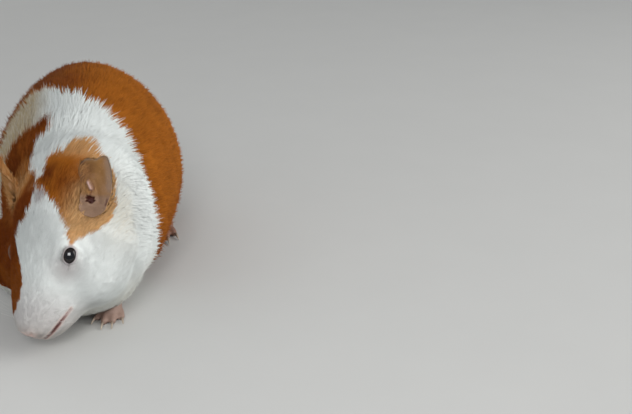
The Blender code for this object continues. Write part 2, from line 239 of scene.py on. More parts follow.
def modify(obj: Piece, kind: str, **settings: Any) -> None:
    """Adds one modifier and applies it.

    Args:
        obj: the object.
        kind: the modifier's type.
        **settings: the modifier's own settings.
    """
    modifier = obj.modifiers.new(kind.title(), kind)
    for key, value in settings.items():
        setattr(modifier, key, value)
    graph = bpy.context.evaluated_depsgraph_get()
    made = bpy.data.meshes.new_from_object(obj.evaluated_get(graph))
    obj.modifiers.clear()
    obj.data = made


def union(body: Piece, others: list[Piece]) -> None:
    """Unites the others with the body, and removes them.

    Args:
        body: the object that stays.
        others: closed objects that cross it.
    """
    group = bpy.data.collections.new("others")
    for other in others:
        group.objects.link(other)
    modify(body, "BOOLEAN", operation="UNION", operand_type="COLLECTION", collection=group, solver="EXACT")
    bpy.data.collections.remove(group)
    for other in others:
        bpy.data.objects.remove(other)


def frame_mesh(names: tuple[str, ...], grow: float) -> Mesh:
    """The frame's nodes as one mesh.

    Args:
        names: the nodes.
        grow: metres by which each grows along its normals, so that they overlap.

    Returns:
        The mesh, its nodes still apart.
    """
    joined = bmesh.new()
    for name in names:
        bm = bmesh.new()
        bm.from_mesh(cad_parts[name].data)
        bmesh.ops.remove_doubles(bm, verts=bm.verts, dist=WELD)
        bm.normal_update()
        for vertex in bm.verts:
            vertex.co += vertex.normal * grow
        piece = bpy.data.meshes.new(name)
        bm.to_mesh(piece)
        bm.free()
        joined.from_mesh(piece)
    mesh = bpy.data.meshes.new("joined")
    joined.to_mesh(mesh)
    joined.free()
    return mesh


def grid_mesh(name: str, rings: list[Array]) -> Mesh:
    """A closed mesh through rings of points, each end closed by a fan about its middle.

    Args:
        name: the mesh's name.
        rings: arrays of points, all with the same count, in order along the piece.

    Returns:
        The mesh, with its faces pointing out.
    """
    count = len(rings[0])
    points = np.concatenate([*rings, rings[0].mean(0)[None], rings[-1].mean(0)[None]])
    steps = np.arange(count)
    ahead = (steps + 1) % count
    faces: list[list[int]] = []
    for r in range(len(rings) - 1):
        a, b = r * count, (r + 1) * count
        faces += np.stack([a + steps, a + ahead, b + ahead, b + steps], 1).tolist()
    first, last, end = len(points) - 2, len(points) - 1, (len(rings) - 1) * count
    faces += [[first, int(j), int(i)] for i, j in zip(steps, ahead)]
    faces += [[last, int(end + i), int(end + j)] for i, j in zip(steps, ahead)]
    mesh = bpy.data.meshes.new(name)
    mesh.from_pydata(points.tolist(), [], faces)
    face_outwards(mesh)
    return mesh


def lay(masks: dict[str, Array], name: str, values: Array) -> None:
    """Adds to one of several masks, keeping the stronger value at each place."""
    masks[name] = np.maximum(masks[name], values)


def store(mesh: Mesh, name: str, values: Array) -> None:
    """Keeps one number for each point under this name."""
    layer = mesh.attributes.new(name, "FLOAT", "POINT")
    layer.data.foreach_set("value", values.astype(np.float32))


def shade_by(mesh: Mesh, normals: Array) -> None:
    """Has the mesh shaded by these normals, one for each point."""
    custom = mesh.attributes.new("custom_normal", "FLOAT_VECTOR", "POINT")
    custom.data.foreach_set("vector", normals.ravel().astype(np.float32))


# ---- the head's frame
@dataclass(frozen=True)
class HeadFrame:
    """The head's own frame: left, up and back from the nose tip, in millimetres."""

    nose: Array
    axes: Array
    eye: Point = (19.6, 8.0, 37.0)
    eye_radius: float = 4.4

    @classmethod
    def from_frame(cls, yaw: float = 29.0, pitch: float = 47.0, roll: float = 19.0) -> "HeadFrame":
        """Finds the nose tip from the two eyes.

        Args:
            yaw: degrees turned to the animal's right.
            pitch: degrees nose down.
            roll: degrees with the left side raised.

        Returns:
            The head's frame.
        """
        y, p, r = radians(yaw), radians(pitch), radians(roll)
        back = np.array([np.sin(y) * np.cos(p), np.cos(y) * np.cos(p), np.sin(p)])
        left = np.array([np.cos(y), -np.sin(y), 0.0])
        up = np.array([-np.sin(y) * np.sin(p), -np.cos(y) * np.sin(p), np.cos(p)])
        axes = np.stack([left * np.cos(r) + up * np.sin(r), up * np.cos(r) - left * np.sin(r), back])
        eyes = [np.array(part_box(f"eye_{side}")).mean(0) for side, _ in SIDES]
        nose = (eyes[0] + eyes[1]) / 2 - (axes[1] * cls.eye[1] + axes[2] * cls.eye[2]) * MM
        return cls(nose, axes)

    def inside(self, points: Array) -> Array:
        """Points of the frame as left, up and back in millimetres."""
        return (points - self.nose) @ self.axes.T / MM

    def folded(self, points: Array) -> Array:
        """The same, with the right side folded onto the left."""
        inside = self.inside(points)
        inside[:, 0] = np.abs(inside[:, 0])
        return inside

    def outside(self, points: Array) -> Array:
        """Points given as left, up and back in millimetres, in the frame."""
        return self.nose + points @ self.axes * MM

    def towards(self, left: float, up: float, back: float) -> Array:
        """A direction in the frame."""
        return unit(np.array([left, up, back]) @ self.axes)


# ---- markings
@dataclass(frozen=True)
class Patch:
    """A coloured patch on the head and neck.

    Its outline is in degrees round the head's middle line, from the left side over the crown, and
    millimetres back.
    """

    outline: Line
    soft: float = 1.6
    girth: float = 27.0  # millimetres of surface for each radian round

    def cover(self, turn: Array, back: Array, wander: Array) -> Array:
        """How much the patch covers each place.

        Args:
            turn: degrees round the head.
            back: millimetres back from the nose.
            wander: millimetres by which the edge strays.

        Returns:
            From 0 outside to 1 inside.
        """
        scale = radians(1) * self.girth
        place = np.stack([turn * scale, back], 1)
        corners = np.array([(t * scale, b) for t, b in self.outline])
        distance = near_line(place, (*corners, corners[0]))
        inside = np.zeros(len(place), bool)
        for a, b in zip(corners, np.roll(corners, -1, 0)):
            crosses = (a[1] > place[:, 1]) != (b[1] > place[:, 1])
            rise = b[1] - a[1] if b[1] != a[1] else 1 / FAR
            inside ^= crosses & (place[:, 0] < a[0] + (place[:, 1] - a[1]) / rise * (b[0] - a[0]))
        return ramp(np.where(inside, distance, -distance) + wander, -self.soft, self.soft)


@dataclass
class Markings:
    """Where the coat is orange, pale, deep, cream or grey. Some of the deep and grey is painted shade, and
    some of the pale painted highlight. Skin and coat read the same functions.
    """

    head: HeadFrame
    # The collar's rear edge from the right side to the left: across and along the body.
    collar: Line = (
        (-56, 12), (-40, 18), (-26, 17), (-17, 8.5), (-9, -4), (3, -11), (16, -19), (26, -26.5),
        (32, -37.5), (36, -45), (39.5, -49.5), (60, -51),
    )
    slant: float = 1.25  # how much longer the collar's width is along the body than square to its edge
    # The patch about the left ear: degrees round the head, and back.
    left_patch: Patch = Patch(
        ((111, 86), (105, 89.5), (99, 92), (96, 96), (90, 98.5), (82, 99.5), (57, 96), (41, 92), (26, 90),
         (14, 86), (9, 74), (6, 67), (7, 61), (12.5, 53.5), (24, 47.7), (36, 42), (40, 43.5), (54.5, 53.5),
         (68, 59.5), (78, 63.5), (84, 65), (95, 66), (98, 70), (95, 73), (100, 77), (110, 82)),
        girth=27.0,
    )
    # The right side's patch as seen from above: across and along the body.
    right_patch: Patch = Patch(
        ((-14.5, -21), (-14, -30), (-20, -33.5), (-24, -38), (-24.5, -45), (-22, -58), (-18, -70),
         (-17.5, -79), (-20, -85), (-25, -86), (-29, -87), (-30.5, -90), (-29, -96), (-27.5, -102),
         (-26, -108), (-29, -111), (-34, -108), (-62, -100), (-62, -10), (-44, -12), (-31, -16),
         (-24, -19)),
        girth=1.0 / radians(1),
    )
    # The brown's edge down the right cheek: back from the nose, and left of the middle line.
    cheek_edge: Line = (
        (0, -18), (4, -9), (8, -3), (12, 0), (18, 1.4), (23, 1.2), (30, -1.5), (41, -8.9), (47, -12),
    )
    jaw: float = -9.0  # how low on the head the brown reaches
    right_ear: Point = (-32.0, 20.0, 72.0)
    # middle of the painted shade on hair under the left ear's front fold
    ear_fold_shade: Point = (26.2, 20.4, 75.6)
    # middle of the darker hair before the left ear: its own streaks and painted shade
    before_ear_streak_and_shade: Point = (18.0, 19.0, 77.0)
    # middle of the right ear's gold: its own light streaks, brightened as a painted highlight
    ear_gold_and_highlight: Point = (-29.0, 15.0, 70.0)
    crown_side_highlight: Path = ((-7.0, 24.0, 71.0), (-6.5, 24.5, 66.0), (-8.0, 24.5, 60.0))  # painted highlight: a pale stripe beside the crown
    # middle of the painted shade round each eye's socket
    socket_shade: Point = (19.0, 7.0, 31.0)
    below_axis: float = 5.0  # how far the axis that degrees are taken about lies under the nose
    strays: tuple[Ripple, Ripple] = field(default_factory=lambda: (Ripple(3, 7.0), Ripple(4, 2.6)))

    def round_head(self, points: Array) -> tuple[Array, Array]:
        """Degrees round the head's middle line, from -90 under the jaw, and millimetres back."""
        inside = self.head.inside(points)
        turn = np.degrees(np.arctan2(inside[:, 1] + self.below_axis, inside[:, 0]))
        return np.where(turn < -90, turn + 360, turn), inside[:, 2]

    def behind_collar(self, points: Array) -> Array:
        """Millimetres behind the collar's rear edge."""
        flat = points / MM
        across, along = np.array(self.collar).T
        return (flat[:, 1] - np.interp(flat[:, 0], across, along)) / self.slant

    def patches(self, points: Array, wander: Array) -> tuple[Array, Array]:
        """Cover of the left and the right patch.

        Args:
            points: places on skin or coat.
            wander: millimetres by which the edges stray.

        Returns:
            From 0 to 1 for each patch.
        """
        turn, back = self.round_head(points)
        left = self.left_patch.cover(turn, back, wander) * (1 - ramp(back, 102, 108))
        right = self.right_patch.cover(points[:, 0] / MM, points[:, 1] / MM, wander)
        inside = self.head.inside(points)
        border = np.interp(back, *np.array(self.cheek_edge).T)
        cheek = ramp(inside[:, 0] - border - 0.5 * wander, 0.5, -0.5)
        cheek = cheek * ramp(inside[:, 1] + wander, self.jaw, self.jaw + 1.5)
        right = right * ramp(inside[:, 0], 5, 2) * ramp(back, 35, 38)
        return left, np.maximum(right, cheek * ramp(back, 44, 40))

    def orange(self, points: Array) -> Array:
        """How orange the coat is at these points, from 0 for white to 1."""
        flat = points / MM
        wander = 0.8 * self.strays[0](flat) + 0.5 * self.strays[1](flat)
        rear = ramp(self.behind_collar(points) + wander, -0.7, 0.7)
        return np.maximum.reduce([rear, *self.patches(points, wander)])

    def deep(self, points: Array) -> Array:
        """How deep the orange is: on neck and right cheek, along the back, and as painted shade towards the
        body's right side, low on the flanks and by the left ear.

        Args:
            points: places on skin or coat.

        Returns:
            From 0 for bright orange to 1 for reddish brown.
        """
        flat = points / MM
        turn, back = self.round_head(points)
        left, right = self.patches(points, np.zeros(len(points)))
        off_ear = np.linalg.norm(points - self.head.outside(np.array(self.right_ear)), axis=1) / MM
        right = right * (1 - 0.92 * ramp(off_ear, 23, 14))
        # Painted shade on hair under the left ear's front fold.
        crown = 0.95 * bump_at(self.head.inside(points), self.ear_fold_shade, 7.0)
        above = oval_at(turn, back, (86, 72), (14, 9))
        # before_ear: darker hair before the left ear, partly its own streaks and partly painted shade.
        streak = np.maximum.reduce([above, crown, 0.9 * self.before_ear(points)])
        brown = 0.75 * oval_at(turn, back, (66, 70), (20, 13))
        # Deeper along the back, and towards the body's right side as painted shade of the side turned from
        # the light; painted shade low on the flanks.
        back_and_side_shade = 0.30 + 0.58 * ramp(flat[:, 0], 18, -18)
        body = np.maximum(back_and_side_shade, 0.8 * ramp(flat[:, 2], 58, 18)) * ramp(self.behind_collar(points), -2, 4)
        return np.clip(np.maximum.reduce([right, left * np.maximum(streak, brown), body]), 0, 1)

    def before_ear(self, points: Array) -> Array:
        """1 on the darker hair in front of the left ear, partly its own streaks and partly painted shade
        beside the ear's front edge, 0 a centimetre away from it.
        """
        return bump_at(self.head.inside(points), self.before_ear_streak_and_shade, 6.5)

    def pale(self, points: Array) -> Array:
        """How pale the orange is: round and under the left ear, on the right ear as its own light streaks
        and a painted highlight, and as a painted highlight in a stripe by the crown.

        Args:
            points: places on skin or coat.

        Returns:
            From 0 to 1.
        """
        turn, back = self.round_head(points)
        left, right = self.patches(points, np.zeros(len(points)))
        low = np.maximum(ramp(turn, 68, 40), 0.8 * ramp(back, 82, 92)) * (1 - self.before_ear(points))
        inside = self.head.inside(points)
        # Painted highlight: a pale stripe beside the crown, by the right ear.
        beside = 0.9 * bell(near_line(inside, self.crown_side_highlight), 3.0)
        # The right ear's gold: its own light streaks, brightened further as a painted highlight.
        golden = np.clip(2.0 * bump_at(inside, self.ear_gold_and_highlight, 14.0), 0, 1)
        streaks = golden * (0.38 + 0.55 * ramp(self.strays[1](points / MM * 2.2), -0.3, 0.4))
        return np.clip(np.maximum(left * low, right * np.maximum(streaks, beside)), 0, 1)

    def tan(self, points: Array) -> Array:
        """How brown the white coat is: on the right shoulder, faintly on the left cheek and low down.

        Args:
            points: places on skin or coat.

        Returns:
            From 0 to 1.
        """
        flat = points / MM
        turn, back = self.round_head(points)
        shoulder = ramp(flat[:, 0], -13, -30) * ramp(flat[:, 1], -32, -16)
        shoulder = np.maximum(shoulder, 0.5 * ramp(flat[:, 0], -12, -22) * ramp(flat[:, 1], -24, -8))
        shoulder = shoulder * (0.2 + 0.8 * ramp(flat[:, 2] + 4 * self.strays[0](flat), 30, 60))
        cheek = 0.40 * oval_at(turn, back, (-4, 66), (26, 16))
        lower = 0.25 * ramp(flat[:, 2], 30, 8)
        return np.clip(np.maximum.reduce([shoulder, cheek, lower]), 0, 1)

    def grey(self, points: Array) -> Array:
        """How grey the white coat is: its own grey at the crown, and painted shade under the eyes and on
        the muzzle.
        """
        turn, back = self.round_head(points)
        crown = 0.9 * oval_at(turn, back, (84, 62.5), (9, 4.5))
        # Painted shade round each eye's socket and on the muzzle, which turns down from the light; the
        # crown's grey is the hair's own.
        eye = 0.55 * bump_at(self.head.folded(points), self.socket_shade, 7.0)
        return np.clip(np.maximum.reduce([crown, eye, 0.5 * ramp(back, 26, 6)]), 0, 1)


# ---- shader nodes
class Value:
    """A socket whose arithmetic adds Math nodes."""

    def __init__(self, surface: "Surface", socket: bpy.types.NodeSocket) -> None:
        """Wraps the socket of one surface's tree."""
        self.surface = surface
        self.socket = socket

    def _math(self, operation: str, first: Any, second: Any) -> "Value":
        """One Math node over two values."""
        node = self.surface.node("ShaderNodeMath", {"operation": operation}, {0: first, 1: second})
        return Value(self.surface, node.outputs[0])

    def __add__(self, other: Any) -> "Value":
        """Sum."""
        return self._math("ADD", self, other)

    def __radd__(self, other: Any) -> "Value":
        """Sum with a number before it."""
        return self._math("ADD", other, self)

    def __sub__(self, other: Any) -> "Value":
        """Difference."""
        return self._math("SUBTRACT", self, other)

    def __rsub__(self, other: Any) -> "Value":
        """A number less this value."""
        return self._math("SUBTRACT", other, self)

    def __mul__(self, other: Any) -> "Value":
        """Product."""
        return self._math("MULTIPLY", self, other)

    def __pow__(self, other: Any) -> "Value":
        """Power."""
        return self._math("POWER", self, other)


class Surface:
    """A material's node tree and the few ways in which these finishes use it."""

    def __init__(self, name: str) -> None:
        """Starts an empty material of this name."""
        self.material = bpy.data.materials.new(name)
        self.material.use_nodes = True
        self.tree = self.material.node_tree
        self.tree.nodes.clear()

    def node(self, kind: str, settings: dict[str, Any], inputs: dict[str | int, Any]) -> bpy.types.Node:
        """Adds one node.

        Args:
            kind: the node's type.
            settings: its own settings, which are set first.
            inputs: values or links of its sockets, by name or number.

        Returns:
            The node.
        """
        made = self.tree.nodes.new(kind)
        for key, value in settings.items():
            setattr(made, key, value)
        for key, value in inputs.items():
            if isinstance(value, Value):
                self.tree.links.new(value.socket, made.inputs[key])
            elif isinstance(value, tuple) and made.inputs[key].type == "RGBA":
                made.inputs[key].default_value = (*value, 1.0)
            else:
                made.inputs[key].default_value = value
        return made

    def kept(self, name: str) -> Value:
        """The number that the mesh keeps under this name."""
        node = self.node("ShaderNodeAttribute", {"attribute_name": name}, {})
        return Value(self, node.outputs["Fac"])

    def noise(self, size: float, detail: float = 2.0, rough: float = 0.55) -> Value:
        """Noise over the piece.

        Args:
            size: of its spots, in metres.
            detail: how many finer layers it has.
            rough: how strong they are.

        Returns:
            From 0 to 1.
        """
        place = self.node("ShaderNodeTexCoord", {}, {})
        where = Value(self, place.outputs["Object"])
        inputs = {"Vector": where, "Scale": 1 / size, "Detail": detail, "Roughness": rough}
        return Value(self, self.node("ShaderNodeTexNoise", {}, inputs).outputs[0])

    def clamp(self, value: Value, low: float, high: float) -> Value:
        """The value taken from low..high to 0..1 and held there."""
        inputs = {"Value": value, "From Min": low, "From Max": high}
        return Value(self, self.node("ShaderNodeMapRange", {"clamp": True}, inputs).outputs[0])

    def blend(self, first: Any, second: Any, share: Any) -> Value:
        """Two colours mixed.

        Args:
            first: a colour or a link.
            second: the other.
            share: how much of the second.

        Returns:
            The mixed colour.
        """
        settings = {"data_type": "RGBA", "blend_type": "MIX", "clamp_factor": True}
        node = self.node("ShaderNodeMix", settings, {0: share, 6: first, 7: second})
        return Value(self, node.outputs[2])

    def shaded(self, colour: Any, level: Value) -> Value:
        """A colour made darker or lighter by a level about 1."""
        grey = self.node("ShaderNodeCombineXYZ", {}, {0: level, 1: level, 2: level})
        inputs = {0: colour, 1: Value(self, grey.outputs[0])}
        node = self.node("ShaderNodeVectorMath", {"operation": "MULTIPLY"}, inputs)
        return Value(self, node.outputs[0])

    def relief(self, height: Value, depth: float, strength: float = 1.0) -> Value:
        """A bumped normal from a height of 0 to 1 and its depth in metres."""
        inputs = {"Height": height, "Distance": depth, "Strength": strength}
        return Value(self, self.node("ShaderNodeBump", {}, inputs).outputs[0])

    def close(self, **inputs: Any) -> Material:
        """Ends the tree in a Principled shader, its sockets named with _ for a blank."""
        sockets = {key.replace("_", " "): value for key, value in inputs.items()}
        shader = self.node("ShaderNodeBsdfPrincipled", {}, sockets)
        self.node("ShaderNodeOutputMaterial", {}, {0: Value(self, shader.outputs[0])})
        return self.material


@dataclass(frozen=True)
class CoatColours:
    """The colours that skin and tufts share, from root to tip."""

    white_root: Colour = (0.80, 0.82, 0.80)
    white_tip: Colour = (0.85, 0.895, 0.875)
    cream: Colour = (0.53, 0.42, 0.255)
    # grey: the crown's own grey, and painted shade under the eyes and on the muzzle
    grey: Colour = (0.42, 0.35, 0.345)
    orange_root: Colour = (0.30, 0.085, 0.008)
    orange_tip: Colour = (0.50, 0.165, 0.018)
    pale_root: Colour = (0.46, 0.22, 0.080)
    pale_tip: Colour = (0.68, 0.41, 0.19)
    # deep: reddish brown, also used as painted shade on the body's right side, low on the flanks and by the
    # left ear
    deep_root: Colour = (0.085, 0.018, 0.003)
    deep_tip: Colour = (0.21, 0.048, 0.007)

    def mixed(self, surface: Surface, along: Any) -> Value:
        """The coat's colour from the mesh's kept numbers.

        Args:
            surface: the material in the making.
            along: how far from root to tip.

        Returns:
            The colour's link.
        """
        white = surface.blend(self.white_root, self.white_tip, along)
        white = surface.blend(white, self.cream, surface.kept("tan"))
        white = surface.blend(white, self.grey, surface.kept("grey"))
        orange = surface.blend(self.orange_root, self.orange_tip, along)
        pale = surface.blend(self.pale_root, self.pale_tip, along)
        deep = surface.blend(self.deep_root, self.deep_tip, along)
        orange = surface.blend(orange, pale, surface.kept("pale"))
        uneven = surface.clamp(surface.noise(0.018, 3.0), 0.40, 0.64)
        orange = surface.blend(orange, deep, surface.kept("deep") * (uneven * 0.4 + 0.78))
        return surface.blend(white, orange, surface.kept("orange"))


@dataclass(frozen=True)
class CoatFinish:
    """Tufts: soft, matt hair that is darker at the root and differs from tuft to tuft."""

    colours: CoatColours = CoatColours()
    spread: float = 0.6  # how much lighter the lightest orange tuft is than the darkest

    def make(self) -> Material:
        """Builds the tufts' material."""
        s = Surface("coat")
        along, tone = s.kept("along"), s.kept("tone")
        colour = self.colours.mixed(s, along ** 0.8)
        spread = s.kept("orange") * (self.spread * 0.7) + self.spread * 0.3
        colour = s.shaded(colour, (tone - 0.5) * spread + 1.0)
        return s.close(
            Base_Color=colour, Roughness=0.9 - along * 0.2, Specular_IOR_Level=0.05,
        )


@dataclass(frozen=True)
class SkinFinish:
    """Skin: coat-coloured where hair grows, bare and pink or brown on ears, lids, lips, nose and feet."""

    colours: CoatColours = CoatColours()
    pink: Colour = (0.62, 0.42, 0.37)
    ear_brown: Colour = (0.29, 0.14, 0.040)
    lobe: Colour = (0.275, 0.165, 0.105)
    foot: Colour = (0.28, 0.16, 0.12)
    lid: Colour = (0.44, 0.405, 0.41)
    lips: Colour = (0.14, 0.060, 0.055)
    # rim: the ears' dark margin, and on the lids a dark edge, partly painted shade under the brow and in
    # the crease below the eye
    rim: Colour = (0.13, 0.11, 0.09)
    # painted shade: dark brown laid into the ear's canal, notch and front fold, the nostrils, the mouth's
    # crease and the eye's opening
    hollow_shade: Colour = (0.075, 0.013, 0.007)

    def make(self) -> Material:
        """Builds the skin's material."""
        s = Surface("skin")
        fine, coarse = s.noise(0.0009, 4.0, 0.65), s.noise(0.006, 3.0)
        colour = self.colours.mixed(s, s.clamp(fine, 0.2, 0.8) * 0.5 + 0.35)
        bare = s.blend(self.pink, self.ear_brown, s.kept("brown") + (coarse - 0.5) * 0.5)
        for name in ("lobe", "foot", "lid"):
            bare = s.blend(bare, getattr(self, name), s.kept(name))
        colour = s.blend(colour, s.shaded(bare, fine * 0.35 + 0.83), s.kept("bare"))
        # lips are the lips' own colour; rim is the ears' and lids' dark edges, on the lids partly painted
        # shade; hollow_shade is painted shade
        for name in ("lips", "rim", "hollow_shade"):
            colour = s.blend(colour, getattr(self, name), s.kept(name))
        return s.close(
            Base_Color=colour, Roughness=0.78 - s.kept("bare") * 0.26 + fine * 0.1,
            Specular_IOR_Level=0.35, Normal=s.relief(fine * 0.6 + coarse * 0.4, 0.0004, 0.5),
        )


@dataclass(frozen=True)
class EyeFinish:
    """A wet, nearly black eye with a faint brown iris."""

    pupil: Colour = (0.004, 0.004, 0.006)
    iris: Colour = (0.012, 0.007, 0.006)
    white: Colour = (0.42, 0.38, 0.36)

    def make(self) -> Material:
        """Builds the eye's material."""
        s = Surface("eye")
        rays = s.clamp(s.noise(0.0007, 3.0), 0.3, 0.7)
        iris = s.shaded(s.blend(self.pupil, self.iris, s.kept("iris")), rays * 0.5 + 0.7)
        colour = s.blend(iris, self.white, s.kept("white"))
        return s.close(
            Base_Color=colour, Roughness=0.05 + s.kept("white") * 0.2, Specular_IOR_Level=0.5,
        )


@dataclass(frozen=True)
class ClawFinish:
    """Horn: grey-brown, paler at the tip, with fine grain."""

    root: Colour = (0.20, 0.135, 0.10)
    tip: Colour = (0.50, 0.42, 0.33)

    def make(self) -> Material:
        """Builds the claws' material."""
        s = Surface("claw")
        grain = s.noise(0.0006, 3.0)
        colour = s.shaded(s.blend(self.root, self.tip, s.kept("along")), grain * 0.4 + 0.8)
        return s.close(
            Base_Color=colour, Roughness=0.38 + grain * 0.2, Specular_IOR_Level=0.5,
            Coat_Weight=0.15, Normal=s.relief(grain, 0.00012, 0.5),
        )


@dataclass(frozen=True)
class WhiskerFinish:
    """Stiff, pale, glossy hairs."""

    root: Colour = (0.66, 0.64, 0.61)
    tip: Colour = (0.84, 0.83, 0.80)

    def make(self) -> Material:
        """Builds the whiskers' material."""
        s = Surface("whisker")
        colour = s.blend(self.root, self.tip, s.clamp(s.kept("along"), 0.0, 0.35))
        return s.close(Base_Color=colour, Roughness=0.42 - s.kept("along") * 0.08, Specular_IOR_Level=0.5)


@dataclass(frozen=True)
class FloorFinish:
    """A plain pale floor."""

    colour: Colour = (0.60, 0.60, 0.585)

    def make(self) -> Material:
        """Builds the floor's material."""
        s = Surface("floor")
        colour = s.shaded(self.colour, s.noise(0.05, 4.0) * 0.04 + 0.98)
        return s.close(Base_Color=colour, Roughness=0.8, Specular_IOR_Level=0.2)


# ---- ears
@dataclass
class Ear:
    """A petal-shaped ear with folded front edge, cartilage folds and canal, on a funnel-shaped base."""

    head: HeadFrame
    side: int
    base: Point = (28.9, 13.0, 62.5)
    across: Point = (0.81, -0.54, 0.23)
    along: Point = (-0.01, 0.38, 0.92)
    # The edge about the canal: degrees from outwards to backwards, and reach in millimetres.
    edge: Line = (
        (-90, 7.7), (-68, 7.35), (-46, 7.5), (-28, 7.5), (-9, 7.6), (10, 9.0), (24, 10.9), (42, 13.8),
        (58, 19.1), (64, 21.7), (68, 23.0), (73, 22.4), (77, 20.5), (80, 19.1), (87, 20.2), (95.5, 19.8),
        (104, 17.6), (111, 14.7), (117, 10.8), (136, 7.0), (180, 5.8), (213, 7.3), (233, 7.9), (252, 7.65),
    )
    full_reach: float = 22.0
    cup: float = 8.5  # how far the edge stands above the canal
    rim_thick: float = 0.9
    funnel: float = 8.0  # how deep the base goes into the head
    spokes: int = 132
    rings: int = 22
    canal_rings: int = 13  # of them, close together about the canal
    canal: tuple[float, float] = (-1.1, 0.8)
    # Lines of the inner face, across and along from the canal.
    crus: Line = ((-0.3, 5.8), (-0.9, 7.2), (-1.5, 8.9))
    groove: Line = ((1.4, 10.0), (2.6, 5.0), (3.3, -0.2))
    tragus: Line = ((-4.7, 1.6), (-1.9, 2.1))
    roll: Line = ((-6.0, 13.0), (-4.0, 17.0), (-0.5, 19.0), (2.6, 18.4))
    notch: Line = ((7.4, 0.6), (7.1, -1.0), (6.6, -2.0))
    slot: Line = ((-0.9, 2.4), (-0.4, 3.6), (-0.1, 5.0))

    def reach(self, turn: Array) -> Array:
        """Reach of the edge.

        Args:
            turn: degrees round the canal.

        Returns:
            Millimetres from the canal.
        """
        start = self.edge[0][0]
        angles = np.array([a for a, _ in self.edge] + [start + 360.0])
        reaches = np.array([r for _, r in self.edge] + [self.edge[0][1]])
        fine = np.arange(start, start + 360.0, 1.5)
        rough = np.interp(fine, angles, reaches)
        wrapped = np.concatenate([rough[-2:], rough, rough[:2]])
        smooth = np.convolve(wrapped, np.array([1, 3, 5, 3, 1]) / 13, "valid")
        turn = (turn - start) % 360 + start
        return np.interp(turn, np.append(fine, angles[-1]), np.append(smooth, smooth[0]))

    def cupped(self, part: Array | float, reach: Array) -> Array:
        """Height of the plain cup, at a part of the edge's reach."""
        return self.cup * np.clip(reach / self.full_reach, 0.3, 1) * part**1.6

    def height(self, turn: Array, out: Array, reach: Array) -> Array:
        """Height of the inner face over the canal's plane, with its folds.

        Args:
            turn: degrees round the canal.
            out: millimetres from the canal.
            reach: the edge's reach there.

        Returns:
            Millimetres.
        """
        part = out / reach
        x, y = polar(turn, out)
        rise = self.cupped(part, reach) - self.sunk(x, y)
        crus = self.off_line(self.crus, x, y)
        rise = rise + 1.3 * bell(crus, 0.55) - 0.6 * bell(crus - 1.4, 0.55)
        rise = rise + 0.9 * bell(np.hypot(x + 1.2, y - 3.3), 0.8)
        rise = rise + 0.7 * bell(self.off_line(self.tragus, x, y), 0.6)
        rise = rise - 0.6 * bell(self.off_line(self.groove, x, y), 0.9)
        rise = rise + 1.1 * bell(self.off_line(self.roll, x, y), 1.6)
        rise = rise - 0.8 * bell(np.hypot(x + 0.9, y - 14.5), 3.4)
        rise = rise - 0.7 * bell(self.off_line(self.notch, x, y), 0.7)
        rise = rise - 2.4 * ramp(self.off_canal(x, y), 1.1, 0.75)
        return rise + 0.12 * np.sin(x * 1.1 + y * 0.5) * ramp(part, 0.3, 0.6)

    def sunk(self, x: Array, y: Array) -> Array:
        """How far the ear's front and lower edges lie sunk among the hair, in millimetres."""
        front = 2.8 * ramp(-x, 1.5, 5.5) * ramp(y, 15, 7) * ramp(y, -5, 0)
        return 2.4 * ramp(-y, 1.5, 7) + 1.2 * ramp(-y, 1, 6) * ramp(-x, -3, 4) + front

    def off_canal(self, x: Array, y: Array) -> Array:
        """Distance from the canal's middle, 1 at its ragged edge."""
        ragged = 0.12 * np.sin(2.3 * x + 1.1 * y + 0.6) + 0.10 * np.sin(3.9 * y - 1.7 * x)
        wide = np.abs(x - self.canal[0])
        tilted = np.abs(y - self.canal[1] + 0.2 * (x - self.canal[0])) / 1.75
        return ((wide / 2.1) ** 3.5 + tilted**3.5) ** (1 / 3.5) + ragged

    def off_line(self, line: Line, x: Array, y: Array) -> Array:
        """Distance from a line of the inner face, in millimetres."""
        places = np.stack([x, y, 0 * x], -1).reshape(-1, 3)
        return near_line(places, tuple((*corner, 0.0) for corner in line)).reshape(x.shape)

    def place(self, turn: Array, out: Array, rise: Array) -> Array:
        """Points of the ear in the frame.

        Args:
            turn: degrees round the canal.
            out: millimetres from it.
            rise: millimetres over its plane.

        Returns:
            The points.
        """
        face = np.cross(self.along, self.across)
        across, along = np.array(self.across), np.array(self.along)
        x, y = polar(turn, out)
        inside = np.array(self.base) + x[:, None] * across + y[:, None] * along + rise[:, None] * face
        return self.head.outside(mirrored(inside, self.side))

    def locate(self, points: Array) -> tuple[Array, Array, Array]:
        """Degrees round the canal, millimetres out from it and height over its plane."""
        inside = mirrored(self.head.inside(points), self.side) - np.array(self.base)
        across, along = inside @ np.array(self.across), inside @ np.array(self.along)
        rise = inside @ np.cross(self.along, self.across)
        return np.degrees(np.arctan2(along, across)), np.hypot(across, along), rise

    def flat(self, points: Array) -> tuple[Array, Array]:
        """Millimetres across and along from the canal."""
        return polar(*self.locate(points)[:2])

    def facing(self, normals: Array) -> Array:
        """How far the normals point out of the cup."""
        return mirrored(normals @ self.head.axes.T, self.side) @ np.cross(self.along, self.across)

    def belongs(self, points: Array) -> Array:
        """1 on the ear, falling to 0 about a millimetre off it."""
        turn, out, rise = self.locate(points)
        reach = self.reach(turn)
        above = rise - self.height(turn, np.minimum(out, reach), reach)
        return ramp(out - reach, 0.9, 0.1) * ramp(above, 1.2, 0.5) * ramp(above, -2.4, -1.4)

    def fringe(self, points: Array) -> Array:
        """1 on the strip along the flap's front, where the head's hair runs on over its edge."""
        x, y = self.flat(points)
        return ramp(x, -1.4, -2.8) * ramp(y, 2.0, 4.5) * ramp(y, 17.5, 14.5) * (self.side > 0)

